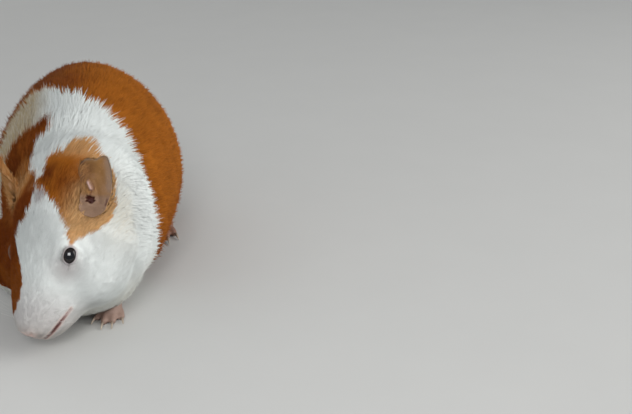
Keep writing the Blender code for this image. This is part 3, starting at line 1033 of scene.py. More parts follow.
    def build(self) -> Piece:
        """The ear as one closed mesh, inner face, rim and funnel."""
        turn = self.edge[0][0] + 360 * np.arange(self.spokes) / self.spokes
        reach = self.reach(turn)
        outer = np.linspace(0.39, 0.91, self.rings - self.canal_rings)
        steps = np.concatenate([np.linspace(0.02, 0.34, self.canal_rings), outer, [0.96, 0.987]])
        rings = []
        for part in steps:
            out = reach * part
            rings.append(self.place(turn, out, self.height(turn, out, reach)))
        rim = self.height(turn, reach, reach)
        for share in (0.35, 0.75):
            rings.append(self.place(turn, reach, rim - self.rim_thick * share))
        for part in (0.97, *steps[::-2]):
            out = reach * part
            smooth = self.cupped(part, reach) - self.sunk(*polar(turn, out))
            smooth = np.minimum(smooth, self.height(turn, out, reach) + 0.6 * ramp(out, 8, 5))
            thick = self.rim_thick + self.funnel * (1 - ramp(out, 1.0, 10.5))
            rings.append(self.place(turn, out, smooth - thick))
        return new_object("ear", grid_mesh("ear", rings))


# ---- eyes
@dataclass
class Eye:
    """An eyeball with iris and cornea, and the lids that hold it."""

    head: HeadFrame
    side: int
    axis: Point = (0.74, 0.61, -0.28)
    half_length: float = 3.70  # of the opening, towards the nose
    half_height: float = 2.72
    squareness: float = 2.15  # of the opening, 2 for a plain oval
    lid: float = 0.45
    melt: float = 1.7  # millimetres over which the lid's curve runs into the skin
    apron: float = 4.0  # how far beyond the opening the lids have a form of their own
    skirt: float = 8.8  # how far the lids' skin reaches from the axis
    # Rings of the lid: millimetres beyond the opening, and raised above the eyeball's curve.
    lid_form: Line = (
        (0.10, 0.02), (0.28, 0.12), (0.5, 0.10), (0.75, 0.0), (1.0, -0.14), (1.25, -0.2), (1.5, -0.12),
        (1.8, 0.02), (2.2, 0.06), (2.7, 0.0), (3.3, 0.0), (4.0, 0.0),
    )
    spokes: int = 128
    flattest: Point = (0.69, 0.71, -0.13)  # towards the cornea's flattest place

    def basis(self) -> tuple[Array, Array, Array, Array]:
        """Centre, then directions outwards, towards the nose and towards the brow, in the frame."""
        centre = self.head.outside(mirrored(self.head.eye, self.side))
        out = self.head.towards(*mirrored(self.axis, self.side))
        nose = self.head.towards(0, -0.12, -1)
        nose = unit(nose - out * (nose @ out))
        brow = np.cross(nose, out) * self.side
        return centre, out, nose, brow

    def opening(self, turn: Array) -> Array:
        """The opening's reach from the axis by angle from the nose towards the brow."""
        length = np.abs(np.cos(turn)) / self.half_length
        height = np.abs(np.sin(turn)) / self.half_height
        oval = (length**self.squareness + height**self.squareness) ** (-1 / self.squareness)
        return oval + 0.28 * bell(np.angle(np.exp(1j * (turn + 0.12))), 0.26)

    def locate(self, points: Array) -> tuple[Array, Array, Array]:
        """Angle from the nose towards the brow, millimetres off the axis and height along it."""
        centre, out, nose, brow = self.basis()
        away = (points - centre) / MM
        x, y = away @ nose, away @ brow
        return np.arctan2(y, x), np.hypot(x, y), away @ out

    def lids(self, skin: Piece) -> Piece:
        """The lids as a closed button, to be united with the skin.

        Args:
            skin: the skin under them, whose height is read.

        Returns:
            The button.
        """
        centre, out, nose, brow = self.basis()
        tree = BVHTree.FromObject(skin, bpy.context.evaluated_depsgraph_get())
        turn = 2 * np.pi * np.arange(self.spokes) / self.spokes
        opening = self.opening(turn)
        radius = self.head.eye_radius
        around = np.cos(turn)[:, None] * nose + np.sin(turn)[:, None] * brow

        def ring(reach: Array, high: Array) -> Array:
            """Points at this reach and height."""
            return centre + (around * reach[:, None] + out * high[:, None]) * MM

        def on_ball(reach: Array, grown: float, least: float) -> Array:
            """A ring on a ball that is this much larger than the eyeball."""
            return ring(reach, np.sqrt(np.maximum((radius + grown) ** 2 - reach**2, least)))

        def under(reach: Array) -> Array:
            """Height of the skin at this reach."""
            found = []
            for point in ring(reach, np.full_like(reach, 12.0)):
                hit = tree.ray_cast(Vector(point), Vector(-out))[0]
                found.append((np.array(hit) - centre) @ out / MM if hit else 0.0)
            return np.array(found)

        def lid_height(reach: Array, lift: float) -> Array:
            """Height of the lid's outer face: the eyeball's own curve melted into the skin."""
            shell = radius + self.lid + lift
            ball = np.sqrt(np.maximum(shell**2 - reach**2, 0.0)) - 0.25 * np.maximum(reach - shell + 0.3, 0)
            skin_height = under(reach)
            share = np.clip(0.5 + 0.5 * (ball - skin_height) / self.melt, 0, 1)
            return skin_height + (ball - skin_height) * share + self.melt * share * (1 - share)

        rings = [on_ball(opening * share, -0.9, 0.01) for share in (0.15, 0.45, 0.7, 0.85)]
        rings.append(ring(opening * 0.975, np.sqrt(np.maximum((radius - 0.25) ** 2 - opening**2, 0.05))))
        rings.append(on_ball(opening, 0.12, 0.1))
        for step, lift in self.lid_form:
            reach = opening + step
            fold = 0.16 * bell(np.array(step - 1.9), 0.4) * ramp(np.sin(turn), -0.2, 0.6)
            rings.append(ring(reach, lid_height(reach, lift) + fold))
        for part, sink in ((0.35, 0.02), (0.7, -0.10), (1.0, -0.45)):
            reach = (opening + self.apron) * (1 - part) + self.skirt * part
            rings.append(ring(reach, lid_height(reach, 0.0) + sink))
        hem = np.full_like(turn, self.skirt * 0.9)
        rings.append(ring(hem, under(hem) - 2.5))
        rings.append(ring(np.full_like(turn, self.skirt * 0.4), np.full_like(turn, -2.6)))
        return new_object("lids", grid_mesh("lids", rings))

    def build(self, name: str) -> Piece:
        """The eyeball: rings about its axis, fine enough to look round, with a slight cornea.

        Args:
            name: the piece's name.

        Returns:
            The eyeball.
        """
        centre, out, nose, brow = self.basis()
        turn = 2 * np.pi * np.arange(self.spokes // 2) / (self.spokes // 2)
        around = np.cos(turn)[:, None] * nose + np.sin(turn)[:, None] * brow
        angles = np.radians(np.concatenate([np.arange(1.5, 70, 2.5), np.arange(72, 178, 6)]))
        radius = self.head.eye_radius - 0.02
        rings = []
        for angle in angles:
            swell = 0.10 * np.exp(-((angle / radians(42)) ** 4))
            size = (radius - 0.08 + swell) * MM
            rings.append(centre + (around * np.sin(angle) + out * np.cos(angle)) * size)
        mesh = grid_mesh(name, rings)
        off = np.degrees(np.arccos(np.clip(unit(points_of(mesh) - centre) @ out, -1, 1)))
        store(mesh, "iris", ramp(off, 24, 34) * ramp(off, 58, 50))
        store(mesh, "white", ramp(off, 64, 70))
        normals = normals_of(mesh)
        top = self.head.towards(*mirrored(self.flattest, self.side))
        away = np.arccos(np.clip(normals @ top, -1, 1)) / radians(48)
        share = (0.5 * np.exp(-(away**4)))[:, None]
        shade_by(mesh, unit(normals * (1 - share) + top * share))
        return new_object(name, mesh)


# ---- feet
@dataclass(frozen=True)
class Foot:
    """Where one of the frame's feet lies."""

    name: str
    near: Array  # corners of its box
    far: Array

    @classmethod
    def from_frame(cls) -> "list[Foot]":
        """The four feet."""
        return [cls(name, *np.array(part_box(name))) for name in FOOT_NODES]

    def off_ankle(self, points: Array) -> Array:
        """Millimetres from where the leg comes down on the foot."""
        ankle = np.array([(self.near[0] + self.far[0]) / 2, self.far[1] - 6 * MM, self.far[2]])
        return np.linalg.norm(points - ankle, axis=1) / MM

    def holds(self, points: Array) -> Array:
        """True on the foot and its skin."""
        return ((points > self.near - 0.6 * MM) & (points < self.far + 0.4 * MM)).all(1)


# ---- skin
@dataclass
class Skin:
    """One skin over the whole body, inside the frame's solids by the coat's depth."""

    head: HeadFrame
    markings: Markings
    eyes: list[Eye]
    ears: list[Ear]
    feet: list[Foot] = field(default_factory=Foot.from_frame)
    voxel: float = 1.7 * MM
    overlap: float = 0.4 * MM
    foot_voxel: float = 0.68 * MM
    socket: float = 4.75 * MM  # radius of the ball that fills an eye's socket
    # How deep the coat is over the skin by the distance back from the nose, both in millimetres.
    depths: Line = ((-2, 0.5), (6, 0.9), (18, 1.2), (34, 1.5), (50, 2.2), (66, 3.0), (84, 3.8), (104, 4.4))
    # Soft forms of the muzzle, mirrored, two of its right side alone, and those about the eye.
    muzzle: tuple[Form, ...] = ((0.5, (9.5, -0.5, 6.5), 6.5), (-0.5, (14.5, -8.5, 12), 4.0))
    right_muzzle: tuple[Form, ...] = ((-2.2, (-16.5, 0.0, 17.0), 8.0), (-3.0, (-18.5, 3.0, 24.0), 8.5))
    brow: tuple[Form, ...] = ((0.7, (17.5, 15.5, 42.0), 5.0), (-0.7, (18.5, 8.5, 24.5), 5.0))
    cheekbone: tuple[Form, ...] = ((0.6, (22.5, -1.5, 33.0), 7.0), (-0.4, (22.0, 9.0, 49.0), 4.5))
    # The lip line from the middle of the muzzle to the left corner of the mouth.
    mouth: Path = (
        (0.0, -6.9, -0.9), (3.3, -6.2, -1.2), (6.5, -4.8, -0.8), (9.5, -4.0, 1.0), (12.5, -3.2, 3.7),
        (15.1, -2.9, 7.0), (17.0, -3.5, 10.6), (17.9, -4.4, 13.8),
    )
    nostril: Path = ((1.9, 1.2, -2.2), (3.1, 1.7, -2.0), (4.1, 3.0, -1.5))
    cleft: Path = ((0, 0.8, -2.2), (0, -3.0, -2.0), (0, -7.0, -1.0))
    nose: Form = (0.7, (1.5, 0.0, -2.0), 5.0)  # how bare the nose is
    tear: Line = ((4.6, -0.5), (6.0, -0.9), (7.0, -0.6))  # a crease from the eye's front corner, painted dark as shade

    def coat_depth(self, points: Array) -> Array:
        """How deep the coat is over the skin, in millimetres.

        Args:
            points: places on the frame's solids.

        Returns:
            One depth for each.
        """
        inside = self.head.inside(points)
        back, side = inside[:, 2], np.abs(inside[:, 0])
        depth = np.interp(back, *np.array(self.depths).T)
        cheek = ramp(side, 12, 22) * ramp(inside[:, 1], 6, -6) * ramp(back, 28, 44)
        depth = depth + 1.2 * cheek * (1 - ramp(back, 80, 100))
        for eye in self.eyes:
            _, off, high = eye.locate(points)
            depth = depth + (1.1 - depth) * ramp(off, 12, 7) * (high > -2)
        for ear in self.ears:
            _, out, rise = ear.locate(points)
            depth = depth + (1.5 - depth) * ramp(np.hypot(out, rise), 16, 9)
        low = ramp(points[:, 2] / MM, 16, 5) * ramp(back, 40, 60)
        depth = depth + (3.2 - depth) * low
        for foot in self.feet:
            depth = depth + (0.25 - depth) * ramp(foot.off_ankle(points), 17, 9)
        return depth

    def flesh(self) -> Piece:
        """The frame's solids of flesh melted into one surface, without gaps and sockets."""
        skin = new_object("skin", frame_mesh(BODY_NODES, self.overlap))
        bm = bmesh.new()
        bm.from_mesh(skin.data)
        for eye in self.eyes:
            made = bmesh.ops.create_uvsphere(bm, u_segments=24, v_segments=16, radius=self.socket)
            centre = eye.basis()[0] - eye.basis()[1] * 1.2 * MM
            bmesh.ops.translate(bm, verts=made["verts"], vec=Vector(centre))
        bm.to_mesh(skin.data)
        bm.free()
        modify(skin, "REMESH", mode="VOXEL", voxel_size=self.voxel)
        relax(skin.data, 14)
        return skin

    def refine(self, skin: Piece, chosen: Callable[[Array], Array]) -> None:
        """Halves the mesh's spacing in places.

        Args:
            skin: the skin in the making.
            chosen: tells for points whether they are in those places.
        """
        bm = bmesh.new()
        bm.from_mesh(skin.data)
        held = chosen(points_of(skin.data))
        edges = [e for e in bm.edges if held[e.verts[0].index] and held[e.verts[1].index]]
        bmesh.ops.subdivide_edges(bm, edges=edges, cuts=1, use_grid_fill=True)
        bmesh.ops.triangulate(bm, faces=[f for f in bm.faces if len(f.verts) > 4])
        bm.to_mesh(skin.data)
        bm.free()

    def front(self, points: Array) -> Array:
        """True in front of the ears."""
        inside = self.head.inside(points)
        return (inside[:, 2] < 58) & (inside[:, 1] > -34)

    def details(self, points: Array) -> Array:
        """True on the muzzle and about the eyes."""
        chosen = self.head.inside(points)[:, 2] < 15
        for eye in self.eyes:
            _, off, high = eye.locate(points)
            chosen |= (off < 10) & (high > -3)
        return chosen

    def inset(self, skin: Piece) -> None:
        """Draws the surface in by the coat's depth, in steps."""
        steps = 4
        depth = self.coat_depth(points_of(skin.data)) + self.overlap / MM
        for _ in range(steps):
            points = points_of(skin.data)
            set_points(skin.data, points - normals_of(skin.data) * (depth * MM / steps)[:, None])
            relax(skin.data, 1, 0.4)

    def shape_muzzle(self, skin: Piece) -> None:
        """Presses in nostrils, lip lines and the cleft between them, and swells lips and whisker pads.

        Args:
            skin: the skin in the making.
        """
        points, normals = points_of(skin.data), normals_of(skin.data)
        inside, folded = self.head.inside(points), self.head.folded(points)
        lips, slit = near_line(folded, self.mouth), near_line(folded, self.nostril)
        ahead = ramp(-(normals @ self.head.axes[2]), 0.1, 0.5)
        move = -1.15 * bell(lips, 0.62) + 0.35 * bell(lips - 1.7, 0.9)
        move = move + ahead * (-1.5 * bell(slit, 0.62) + 0.4 * bell(slit - 1.5, 0.7))
        move = move - ahead * 0.7 * bell(near_line(folded, self.cleft), 0.45)
        for places, forms in ((folded, self.muzzle), (inside, self.right_muzzle)):
            for height, middle, radius in forms:
                move = move + height * bump_at(places, middle, radius)
        set_points(skin.data, points + normals * move[:, None] * MM)

    def shape_brow(self, skin: Piece) -> None:
        """Gives the brow, the dip before the eye and the cheekbone their soft forms.

        Args:
            skin: the skin in the making.
        """
        points, normals = points_of(skin.data), normals_of(skin.data)
        folded, move = self.head.folded(points), np.zeros(len(points))
        for height, middle, radius in (*self.brow, *self.cheekbone):
            move = move + height * bump_at(folded, middle, radius)
        set_points(skin.data, points + normals * move[:, None] * MM)

    def foot_skins(self) -> list[Piece]:
        """The four feet, melted from the frame's solids with rounded toes."""
        made = []
        for foot in self.feet:
            piece = new_object(foot.name + "_skin", frame_mesh((foot.name,), 0.12 * MM))
            modify(piece, "REMESH", mode="VOXEL", voxel_size=self.foot_voxel)
            relax(piece.data, 6)
            points = points_of(piece.data)
            points[:, 2] = np.maximum(points[:, 2], foot.near[2])
            set_points(piece.data, points)
            made.append(piece)
        return made

    def soften_joins(self, skin: Piece, before: Array) -> None:
        """Smooths a narrow band about the lines where pieces were united.

        Args:
            skin: the united skin.
            before: the points of all pieces before they were united.
        """
        points, edges = points_of(skin.data), edges_of(skin.data)
        keys = np.round(points / (0.002 * MM)).astype(np.int64)
        old = np.round(before / (0.002 * MM)).astype(np.int64)
        kinds = [np.ascontiguousarray(k).view([("", k.dtype)] * 3).ravel() for k in (keys, old)]
        weight = (~np.isin(kinds[0], kinds[1])).astype(float)
        for _ in range(4):
            weight = np.maximum(weight, 0.85 * neighbour_mean(weight[:, None], edges)[:, 0] * 2.2)
            weight = np.clip(weight, 0, 1)
        relax(skin.data, 10, weight * 0.5)

    def paint_ear(self, ear: Ear, points: Array, normals: Array, masks: dict[str, Array]) -> None:
        """Adds one ear's bare and shaded places to the masks.

        Args:
            ear: the ear.
            points: the skin's points.
            normals: its normals there.
            masks: the kept numbers, by name.
        """
        on_ear = ear.belongs(points)
        turn, out, rise = ear.locate(points)
        x, y = ear.flat(points)
        within = ramp(ear.facing(normals), -0.25, 0.15)
        crus = ear.off_line(ear.crus, x, y)
        lay(masks, "bare", on_ear * (0.35 + 0.65 * within))
        # The ear's skin is brown, pink along the ridge above the canal: partly pink skin, partly a painted
        # highlight where the ridge is lit.
        lay(masks, "brown", on_ear * (1 - 0.95 * bell(crus, 0.85) * ramp(y, 4.0, 5.5)))
        lay(masks, "orange", on_ear)
        if ear.side < 0:
            masks["bare"] = np.maximum(masks["bare"] * (1 - on_ear), 0.25 * on_ear * within)
            return
        low = np.maximum(ramp(y, 4.5, 1.0), 0.25 * ramp(x, 1, 5) * ramp(y, 16, 6))
        lay(masks, "lobe", on_ear * low * within)
        part = out / ear.reach(turn)
        edge = ramp(part, 0.93, 0.985) * ramp(turn, 34, 42) * ramp(turn, 86, 78)
        edge = np.maximum(edge, 0.8 * ramp(part, 0.90, 0.97) * ramp(turn, 82, 88) * ramp(turn, 108, 98))
        lay(masks, "rim", 0.9 * on_ear * edge)
        lay(masks, "lid", 0.22 * on_ear * within * ramp(x, 6.0, 8.5) * ramp(y, 2, 6))
        # Painted shade: under the rolled front fold, in the notch, beside the pink ridge, along the front
        # strip and in the slot above the canal.
        shade = np.maximum.reduce([
            0.55 * bell(np.hypot((x + 2.0) / 1.3, y - 15.0), 3.4),
            0.75 * bell(ear.off_line(ear.notch, x, y), 0.45),
            0.5 * bell(crus - 1.3, 0.5) * ramp(y, 4.5, 5.5) * ramp(y, 10, 8),
            0.5 * ramp(x, 0.5, -2.5) * ramp(y, 7, 10.5) * ramp(y, 19.5, 17.5),
            0.6 * bell(ear.off_line(ear.slot, x, y), 0.4),
        ])
        lay(masks, "hollow_shade", on_ear * shade)
        # Painted shade: the canal's opening laid dark.
        canal = ramp(ear.off_canal(x, y), 1.12, 0.85) * ramp(np.abs(rise), 4.5, 3.5) * within
        lay(masks, "hollow_shade", canal)
        lay(masks, "bare", canal)

    def paint_eye(self, eye: Eye, points: Array, masks: dict[str, Array]) -> None:
        """Adds one eye's lids, margins and corners, with their painted shade, to the masks.

        Args:
            eye: the eye.
            points: the skin's points.
            masks: the kept numbers, by name.
        """
        turn, off, high = eye.locate(points)
        gap = off - eye.opening(turn)
        above = ramp(np.sin(turn), 0.3, 0.8)
        near = ramp(gap, 1.5, 0.4) * (high > -1)
        front = bell(turn, 0.6) * ramp(gap, 4.4, 2.0) * (high > -2)
        # The right eye's lids are brown, like the cheek round them.
        own, tone = (1.0, "lid") if eye.side > 0 else (0.2, "brown")
        lay(masks, "bare", own * np.maximum(near, front * 0.8))
        lay(masks, tone, ramp(gap, 5.0, 4.0) * (high > -2))
        # Painted shade: a band under the brow fold above the eye, and the lids' dark edge made darker along
        # the top, where the upper lid shades it.
        brow = 0.5 * above * ramp(gap, 0.2, 0.6) * ramp(gap, 2.6, 1.4)
        margin = (0.25 + 0.6 * above) * ramp(gap, 0.32, 0.05)
        if eye.side < 0:
            margin = 0.85 * ramp(gap, 0.95, 0.35)
        lay(masks, "rim", np.maximum(margin, brow) * (high > -1))
        flat = np.stack([off * np.cos(turn), off * np.sin(turn), 0 * off], 1)
        # Painted shade: a dark line along the crease below the eye's front corner.
        tear = near_line(flat, tuple((*corner, 0.0) for corner in self.tear))
        lay(masks, "rim", 0.55 * ramp(tear, 0.8, 0.2) * (high > -2))
        # Painted shade where the lids' edge meets the eyeball.
        lay(masks, "hollow_shade", ramp(gap, -0.05, -0.4) * (high > 0))

    def paint(self, skin: Piece) -> None:
        """Keeps the markings and the bare places on the skin's points.

        Args:
            skin: the finished mesh of the skin.
        """
        mesh = skin.data
        points, normals = points_of(mesh), normals_of(mesh)
        folded = self.head.folded(points)
        colours = ("orange", "deep", "pale", "tan", "grey")
        masks = {name: getattr(self.markings, name)(points) for name in colours}
        for name in ("bare", "brown", "lobe", "foot", "lid", "lips", "rim", "hollow_shade"):
            masks[name] = np.zeros(len(points))
        for ear in self.ears:
            self.paint_ear(ear, points, normals, masks)
        for eye in self.eyes:
            self.paint_eye(eye, points, masks)
        mouth, slit = near_line(folded, self.mouth), near_line(folded, self.nostril)
        ahead = ramp(-(normals @ self.head.axes[2]), 0.0, 0.5)
        bareness, middle, radius = self.nose
        lay(masks, "bare", 0.75 * ramp(mouth, 2.6, 0.6))
        lay(masks, "bare", bareness * bump_at(folded, middle, radius) * ahead)
        # Painted shade in the nostrils' slits.
        lay(masks, "hollow_shade", ahead * ramp(slit, 0.75, 0.3) * 0.9)
        lay(masks, "lips", ramp(mouth, 1.35, 0.6))
        # Painted shade along the mouth's crease.
        lay(masks, "hollow_shade", 0.85 * ramp(mouth, 0.85, 0.35))
        for foot in self.feet:
            off = np.maximum(np.maximum(foot.near - points, points - foot.far), 0)
            lay(masks, "foot", ramp(np.linalg.norm(off, axis=1) / MM, 1.6, 0.4))
        lay(masks, "bare", masks["foot"] * 0.9)
        for name, values in masks.items():
            store(mesh, name, np.clip(values, 0, 1))

    def unwrap(self, skin: Piece) -> None:
        """Unwraps the skin's own shape into the map that skin and coat share."""
        bpy.context.view_layer.objects.active = skin
        skin.select_set(True)
        bpy.ops.object.mode_set(mode="EDIT")
        bpy.ops.mesh.select_all(action="SELECT")
        bpy.ops.uv.smart_project(angle_limit=radians(66), island_margin=0.002)
        bpy.ops.object.mode_set(mode="OBJECT")
        skin.data.uv_layers[0].name = "OFBake"

    def build(self) -> Piece:
        """Makes the whole skin.

        Returns:
            The skin, with its map, kept numbers and finish.
        """
        skin = self.flesh()
        self.refine(skin, self.front)
        relax(skin.data, 3)
        self.refine(skin, self.details)
        relax(skin.data, 2)
        self.inset(skin)
        self.shape_muzzle(skin)
        self.shape_brow(skin)
        parts = [eye.lids(skin) for eye in self.eyes]
        parts += [ear.build() for ear in self.ears] + self.foot_skins()
        before = np.concatenate([points_of(p.data) for p in (skin, *parts)])
        union(skin, parts)
        self.soften_joins(skin, before)
        modify(skin, "TRIANGULATE")
        LOG.info("skin: %d points, %d faces", len(skin.data.vertices), len(skin.data.polygons))
        self.unwrap(skin)
        self.paint(skin)
        skin.data.materials.clear()
        skin.data.materials.append(SkinFinish().make())
        skin.data.shade_smooth()
        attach(skin, "root")
        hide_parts(*BODY_NODES, *FOOT_NODES, *EAR_NODES)
        return skin


# ---- coat
class Zone(Enum):
    """Stretches of coat that are each a piece."""

    FACE_LEFT = "coat_face_left"
    FACE_RIGHT = "coat_face_right"
    CROWN = "coat_crown"
    CHEEKS = "coat_cheeks"
    COLLAR_LEFT = "coat_collar_left"
    COLLAR_RIGHT = "coat_collar_right"
    BACK_LEFT = "coat_back_left"
    BACK_RIGHT = "coat_back_right"
    FLANK_LEFT = "coat_flank_left"
    FLANK_RIGHT = "coat_flank_right"
    RUMP = "coat_rump"
    BELLY = "coat_belly"
    LEGS = "coat_legs"
    FEET = "coat_feet"
    EARS = "coat_ears"


@dataclass(frozen=True)
class Lock:
    """How tufts grow somewhere: how thickly they stand, and their size in millimetres."""

    per_mm2: float
    length: float
    width: float
    height: float
    stray: float = 0.16  # radians by which a tuft strays from the lie
    rings: int = 2
    pull: float = 0.0  # how far tips are drawn together into locks
    lock: float = 4.0  # millimetres from lock to lock
    uneven: float = 0.35  # how much heights differ


LOCKS = {
    Zone.FACE_LEFT: Lock(6.0, 3.6, 0.28, 0.85, 0.16, 1, 0.12, 2.5),
    Zone.FACE_RIGHT: Lock(6.0, 3.6, 0.28, 0.85, 0.16, 1, 0.12, 2.5),
    Zone.CROWN: Lock(3.0, 7.0, 0.42, 2.2, 0.12, 2, 0.22, 3.4),
    Zone.CHEEKS: Lock(3.1, 7.8, 0.44, 2.8, 0.12, 2, 0.15, 3.4),
    Zone.COLLAR_LEFT: Lock(4.4, 10.5, 0.46, 3.7, 0.10, 2, 0.15, 3.4),
    Zone.COLLAR_RIGHT: Lock(3.4, 10.5, 0.46, 3.8, 0.10, 2, 0.18, 3.6),
    Zone.BACK_LEFT: Lock(2.8, 11.0, 0.44, 3.6, 0.08, 2, 0.26, 3.6, 0.25),
    Zone.BACK_RIGHT: Lock(2.8, 11.0, 0.44, 3.6, 0.08, 2, 0.26, 3.6, 0.25),
    Zone.FLANK_LEFT: Lock(2.5, 11.0, 0.46, 3.6, 0.09, 2, 0.26, 3.6, 0.25),
    Zone.FLANK_RIGHT: Lock(2.5, 11.0, 0.46, 3.6, 0.09, 2, 0.26, 3.6, 0.25),
    Zone.RUMP: Lock(2.0, 11.0, 0.50, 3.6, 0.09, 2, 0.26, 3.6, 0.25),
    Zone.BELLY: Lock(0.6, 8.0, 0.70, 2.4, 0.18, 2, 0.3, 5.0),
    Zone.LEGS: Lock(1.6, 5.5, 0.44, 1.8, 0.16, 2, 0.3, 3.5),
    Zone.FEET: Lock(1.0, 1.5, 0.20, 0.35, 0.20, 1),
    Zone.EARS: Lock(4.0, 1.7, 0.28, 0.40, 0.22, 1),
}


@dataclass
class Roots:
    """Where tufts grow: places on the skin, with its normal and its map there."""

    points: Array
    normals: Array
    turning: Array  # for each root, how the normal changes along x, y and z, per metre
    map: Array

    def take(self, chosen: Array) -> "Roots":
        """The roots that are chosen."""
        return Roots(self.points[chosen], self.normals[chosen], self.turning[chosen], self.map[chosen])


@dataclass
class Coat:
    """Tufts of hair over the whole skin, as closed tapered blades that follow its curve."""

    head: HeadFrame
    markings: Markings
    skin: Skin
    body: Piece
    seed: int = 11
    patch: float = 0.003  # size of a tuft on the map
    middle: float = -2.0  # how far to the left the back's ridge is, in millimetres
    # Which way the hair lies on legs and feet, in the frame.
    down_leg: Point = (0.0, -0.25, -1.0)
    over_foot: Point = (0.0, -1.0, -0.15)
    clumps: tuple[Ripple, Ripple, Ripple] = field(
        default_factory=lambda: (Ripple(21, 9.0), Ripple(22, 3.2), Ripple(23, 26.0))
    )

    def sow(self, rng: np.random.Generator) -> Roots:
        """Scatters roots over the skin, as thickly as each zone asks.

        Args:
            rng: the random draws.

        Returns:
            All roots, in the skin's order of faces.
        """
        mesh = self.body.data
        points, normals = points_of(mesh), normals_of(mesh)
        edges = edges_of(mesh)
        for _ in range(3):
            normals = unit(normals + neighbour_mean(normals, edges))
        corners = np.empty(len(mesh.polygons) * 3, np.int32)
        mesh.loops.foreach_get("vertex_index", corners)
        corners = corners.reshape(-1, 3)
        uv = np.empty(len(mesh.loops) * 2, np.float32)
        mesh.uv_layers["OFBake"].data.foreach_get("uv", uv)
        uv = uv.reshape(-1, 3, 2).astype(float)
        p, n = points[corners], normals[corners]
        sides = np.stack([p[:, 1] - p[:, 0], p[:, 2] - p[:, 0]], 1)
        across = np.cross(sides[:, 0], sides[:, 1])
        area = np.linalg.norm(across, axis=1) / 2
        middle = p.mean(1)
        zones = self.zones(middle, unit(across))
        density = np.array([LOCKS[z].per_mm2 for z in Zone])[zones]
        wanted = area / MM**2 * (density * self.thickness(middle, unit(across)))
        count = np.floor(wanted + rng.random(len(wanted))).astype(int)
        face = np.repeat(np.arange(len(count)), count)
        a, b = rng.random(len(face)), rng.random(len(face))
        a, b = np.where(a + b > 1, 1 - a, a), np.where(a + b > 1, 1 - b, b)
        share = np.stack([1 - a - b, a, b], 1)
        # The normal's change over the face, as a matrix that takes a step to a change of normal.
        flat = np.stack([sides[:, 0], sides[:, 1], unit(across)], 1)
        change = np.stack([n[:, 1] - n[:, 0], n[:, 2] - n[:, 0], np.zeros_like(across)], 1)
        sound = area > 1e-10
        turning = np.zeros((len(area), 3, 3))
        turning[sound] = np.linalg.solve(flat[sound], change[sound])
        share = share[..., None]
        grown = (p[face] * share).sum(1)
        return Roots(grown, unit((n[face] * share).sum(1)), turning[face], (uv[face] * share).sum(1))

    def thickness(self, points: Array, normals: Array) -> Array:
        """Thins the coat out to nothing on bare places.

        Args:
            points: places on the skin.
            normals: its normals there.

        Returns:
            From 0 where no hair grows to 1.
        """
        left = np.ones(len(points))
        for eye in self.skin.eyes:
            turn, off, high = eye.locate(points)
            gap = off - eye.opening(turn)
            left *= 1 - ramp(gap, 1.3, 0.8) * (high > -1)
            left *= 1 - 0.6 * bell(turn, 0.5) * ramp(gap, 4.4, 2.0) * (high > -2)
        ear = self.skin.ears[0]  # only the left one is bare inside
        _, _, rise = ear.locate(points)
        x, y = ear.flat(points)
        bald = ramp(ear.facing(normals), -0.2, 0.2) * (1 - ear.fringe(points)) * 0.95
        left *= 1 - ear.belongs(points) * bald
        left *= 1 - ramp(np.hypot(x - ear.canal[0], y - ear.canal[1]), 4.6, 3.6) * (np.abs(rise) < 6)
        folded = self.head.folded(points)
        ahead = ramp(-(normals @ self.head.axes[2]), 0.2, 0.6)
        left *= 1 - ahead * ramp(near_line(folded, self.skin.nostril), 1.5, 0.9)
        left *= 1 - ramp(near_line(folded, self.skin.mouth), 1.3, 0.8)
        for ear in self.skin.ears:
            left *= 1 - self.under_ear(ear, points)
        left *= 1 - 0.55 * ahead * bump_at(folded, (0, 0.5, -2), 3.0)
        for foot in self.skin.feet:
            toes = ramp(points[:, 1], foot.near[1] + 13 * MM, foot.near[1] + 6 * MM)
            left *= 1 - foot.holds(points) * np.maximum(toes, ramp(normals[:, 2], 0.4, 0.0))
        return left * (normals[:, 2] > -0.98)

    def under_ear(self, ear: Ear, points: Array) -> Array:
        """Finds the head's skin under the free part of an ear, where hair would pierce it.

        Args:
            ear: the ear.
            points: places on the skin.

        Returns:
            From 0 to 1 there.
        """
        turn, out, rise = ear.locate(points)
        x, y = ear.flat(points)
        reach = ear.reach(turn)
        below = ear.height(turn, np.minimum(out, reach), reach) - rise
        covered = ramp(out - reach, 0.0, -1.2) * ramp(below, 1.5, 2.5) * ramp(below, 14, 10)
        return covered * (1 - ramp(x, -2.5, -4.0) * ramp(y, 13, 10))

    def before_ear(self, points: Array) -> Array:
        """1 on the head just before the left ear, where the hair sweeps over the ear's front edge."""
        ear = self.skin.ears[0]
        _, _, rise = ear.locate(points)
        x, y = ear.flat(points)
        return ramp(x, -12, -7) * ramp(x, -1.5, -4) * ramp(y, -5, 1) * ramp(y, 18, 12) * (np.abs(rise) < 12)

    def zones(self, points: Array, normals: Array) -> Array:
        """Tells which zone each place is in.

        Args:
            points: places on the skin.
            normals: its normals there.

        Returns:
            Each zone's number in Zone.
        """
        flat, inside = points / MM, self.head.inside(points)
        back = inside[:, 2]
        left, head_left = flat[:, 0] > self.middle, inside[:, 0] > 0
        steep = np.abs(normals[:, 2]) < 0.5
        low = (normals[:, 2] < -0.55) & (flat[:, 2] < 30)
        collar = self.markings.behind_collar(points) < 1.5
        head = collar & (back < 84) & (inside[:, 1] < 34)
        face, top = head & (back < 50), inside[:, 1] > 2
        collar = collar & ~low
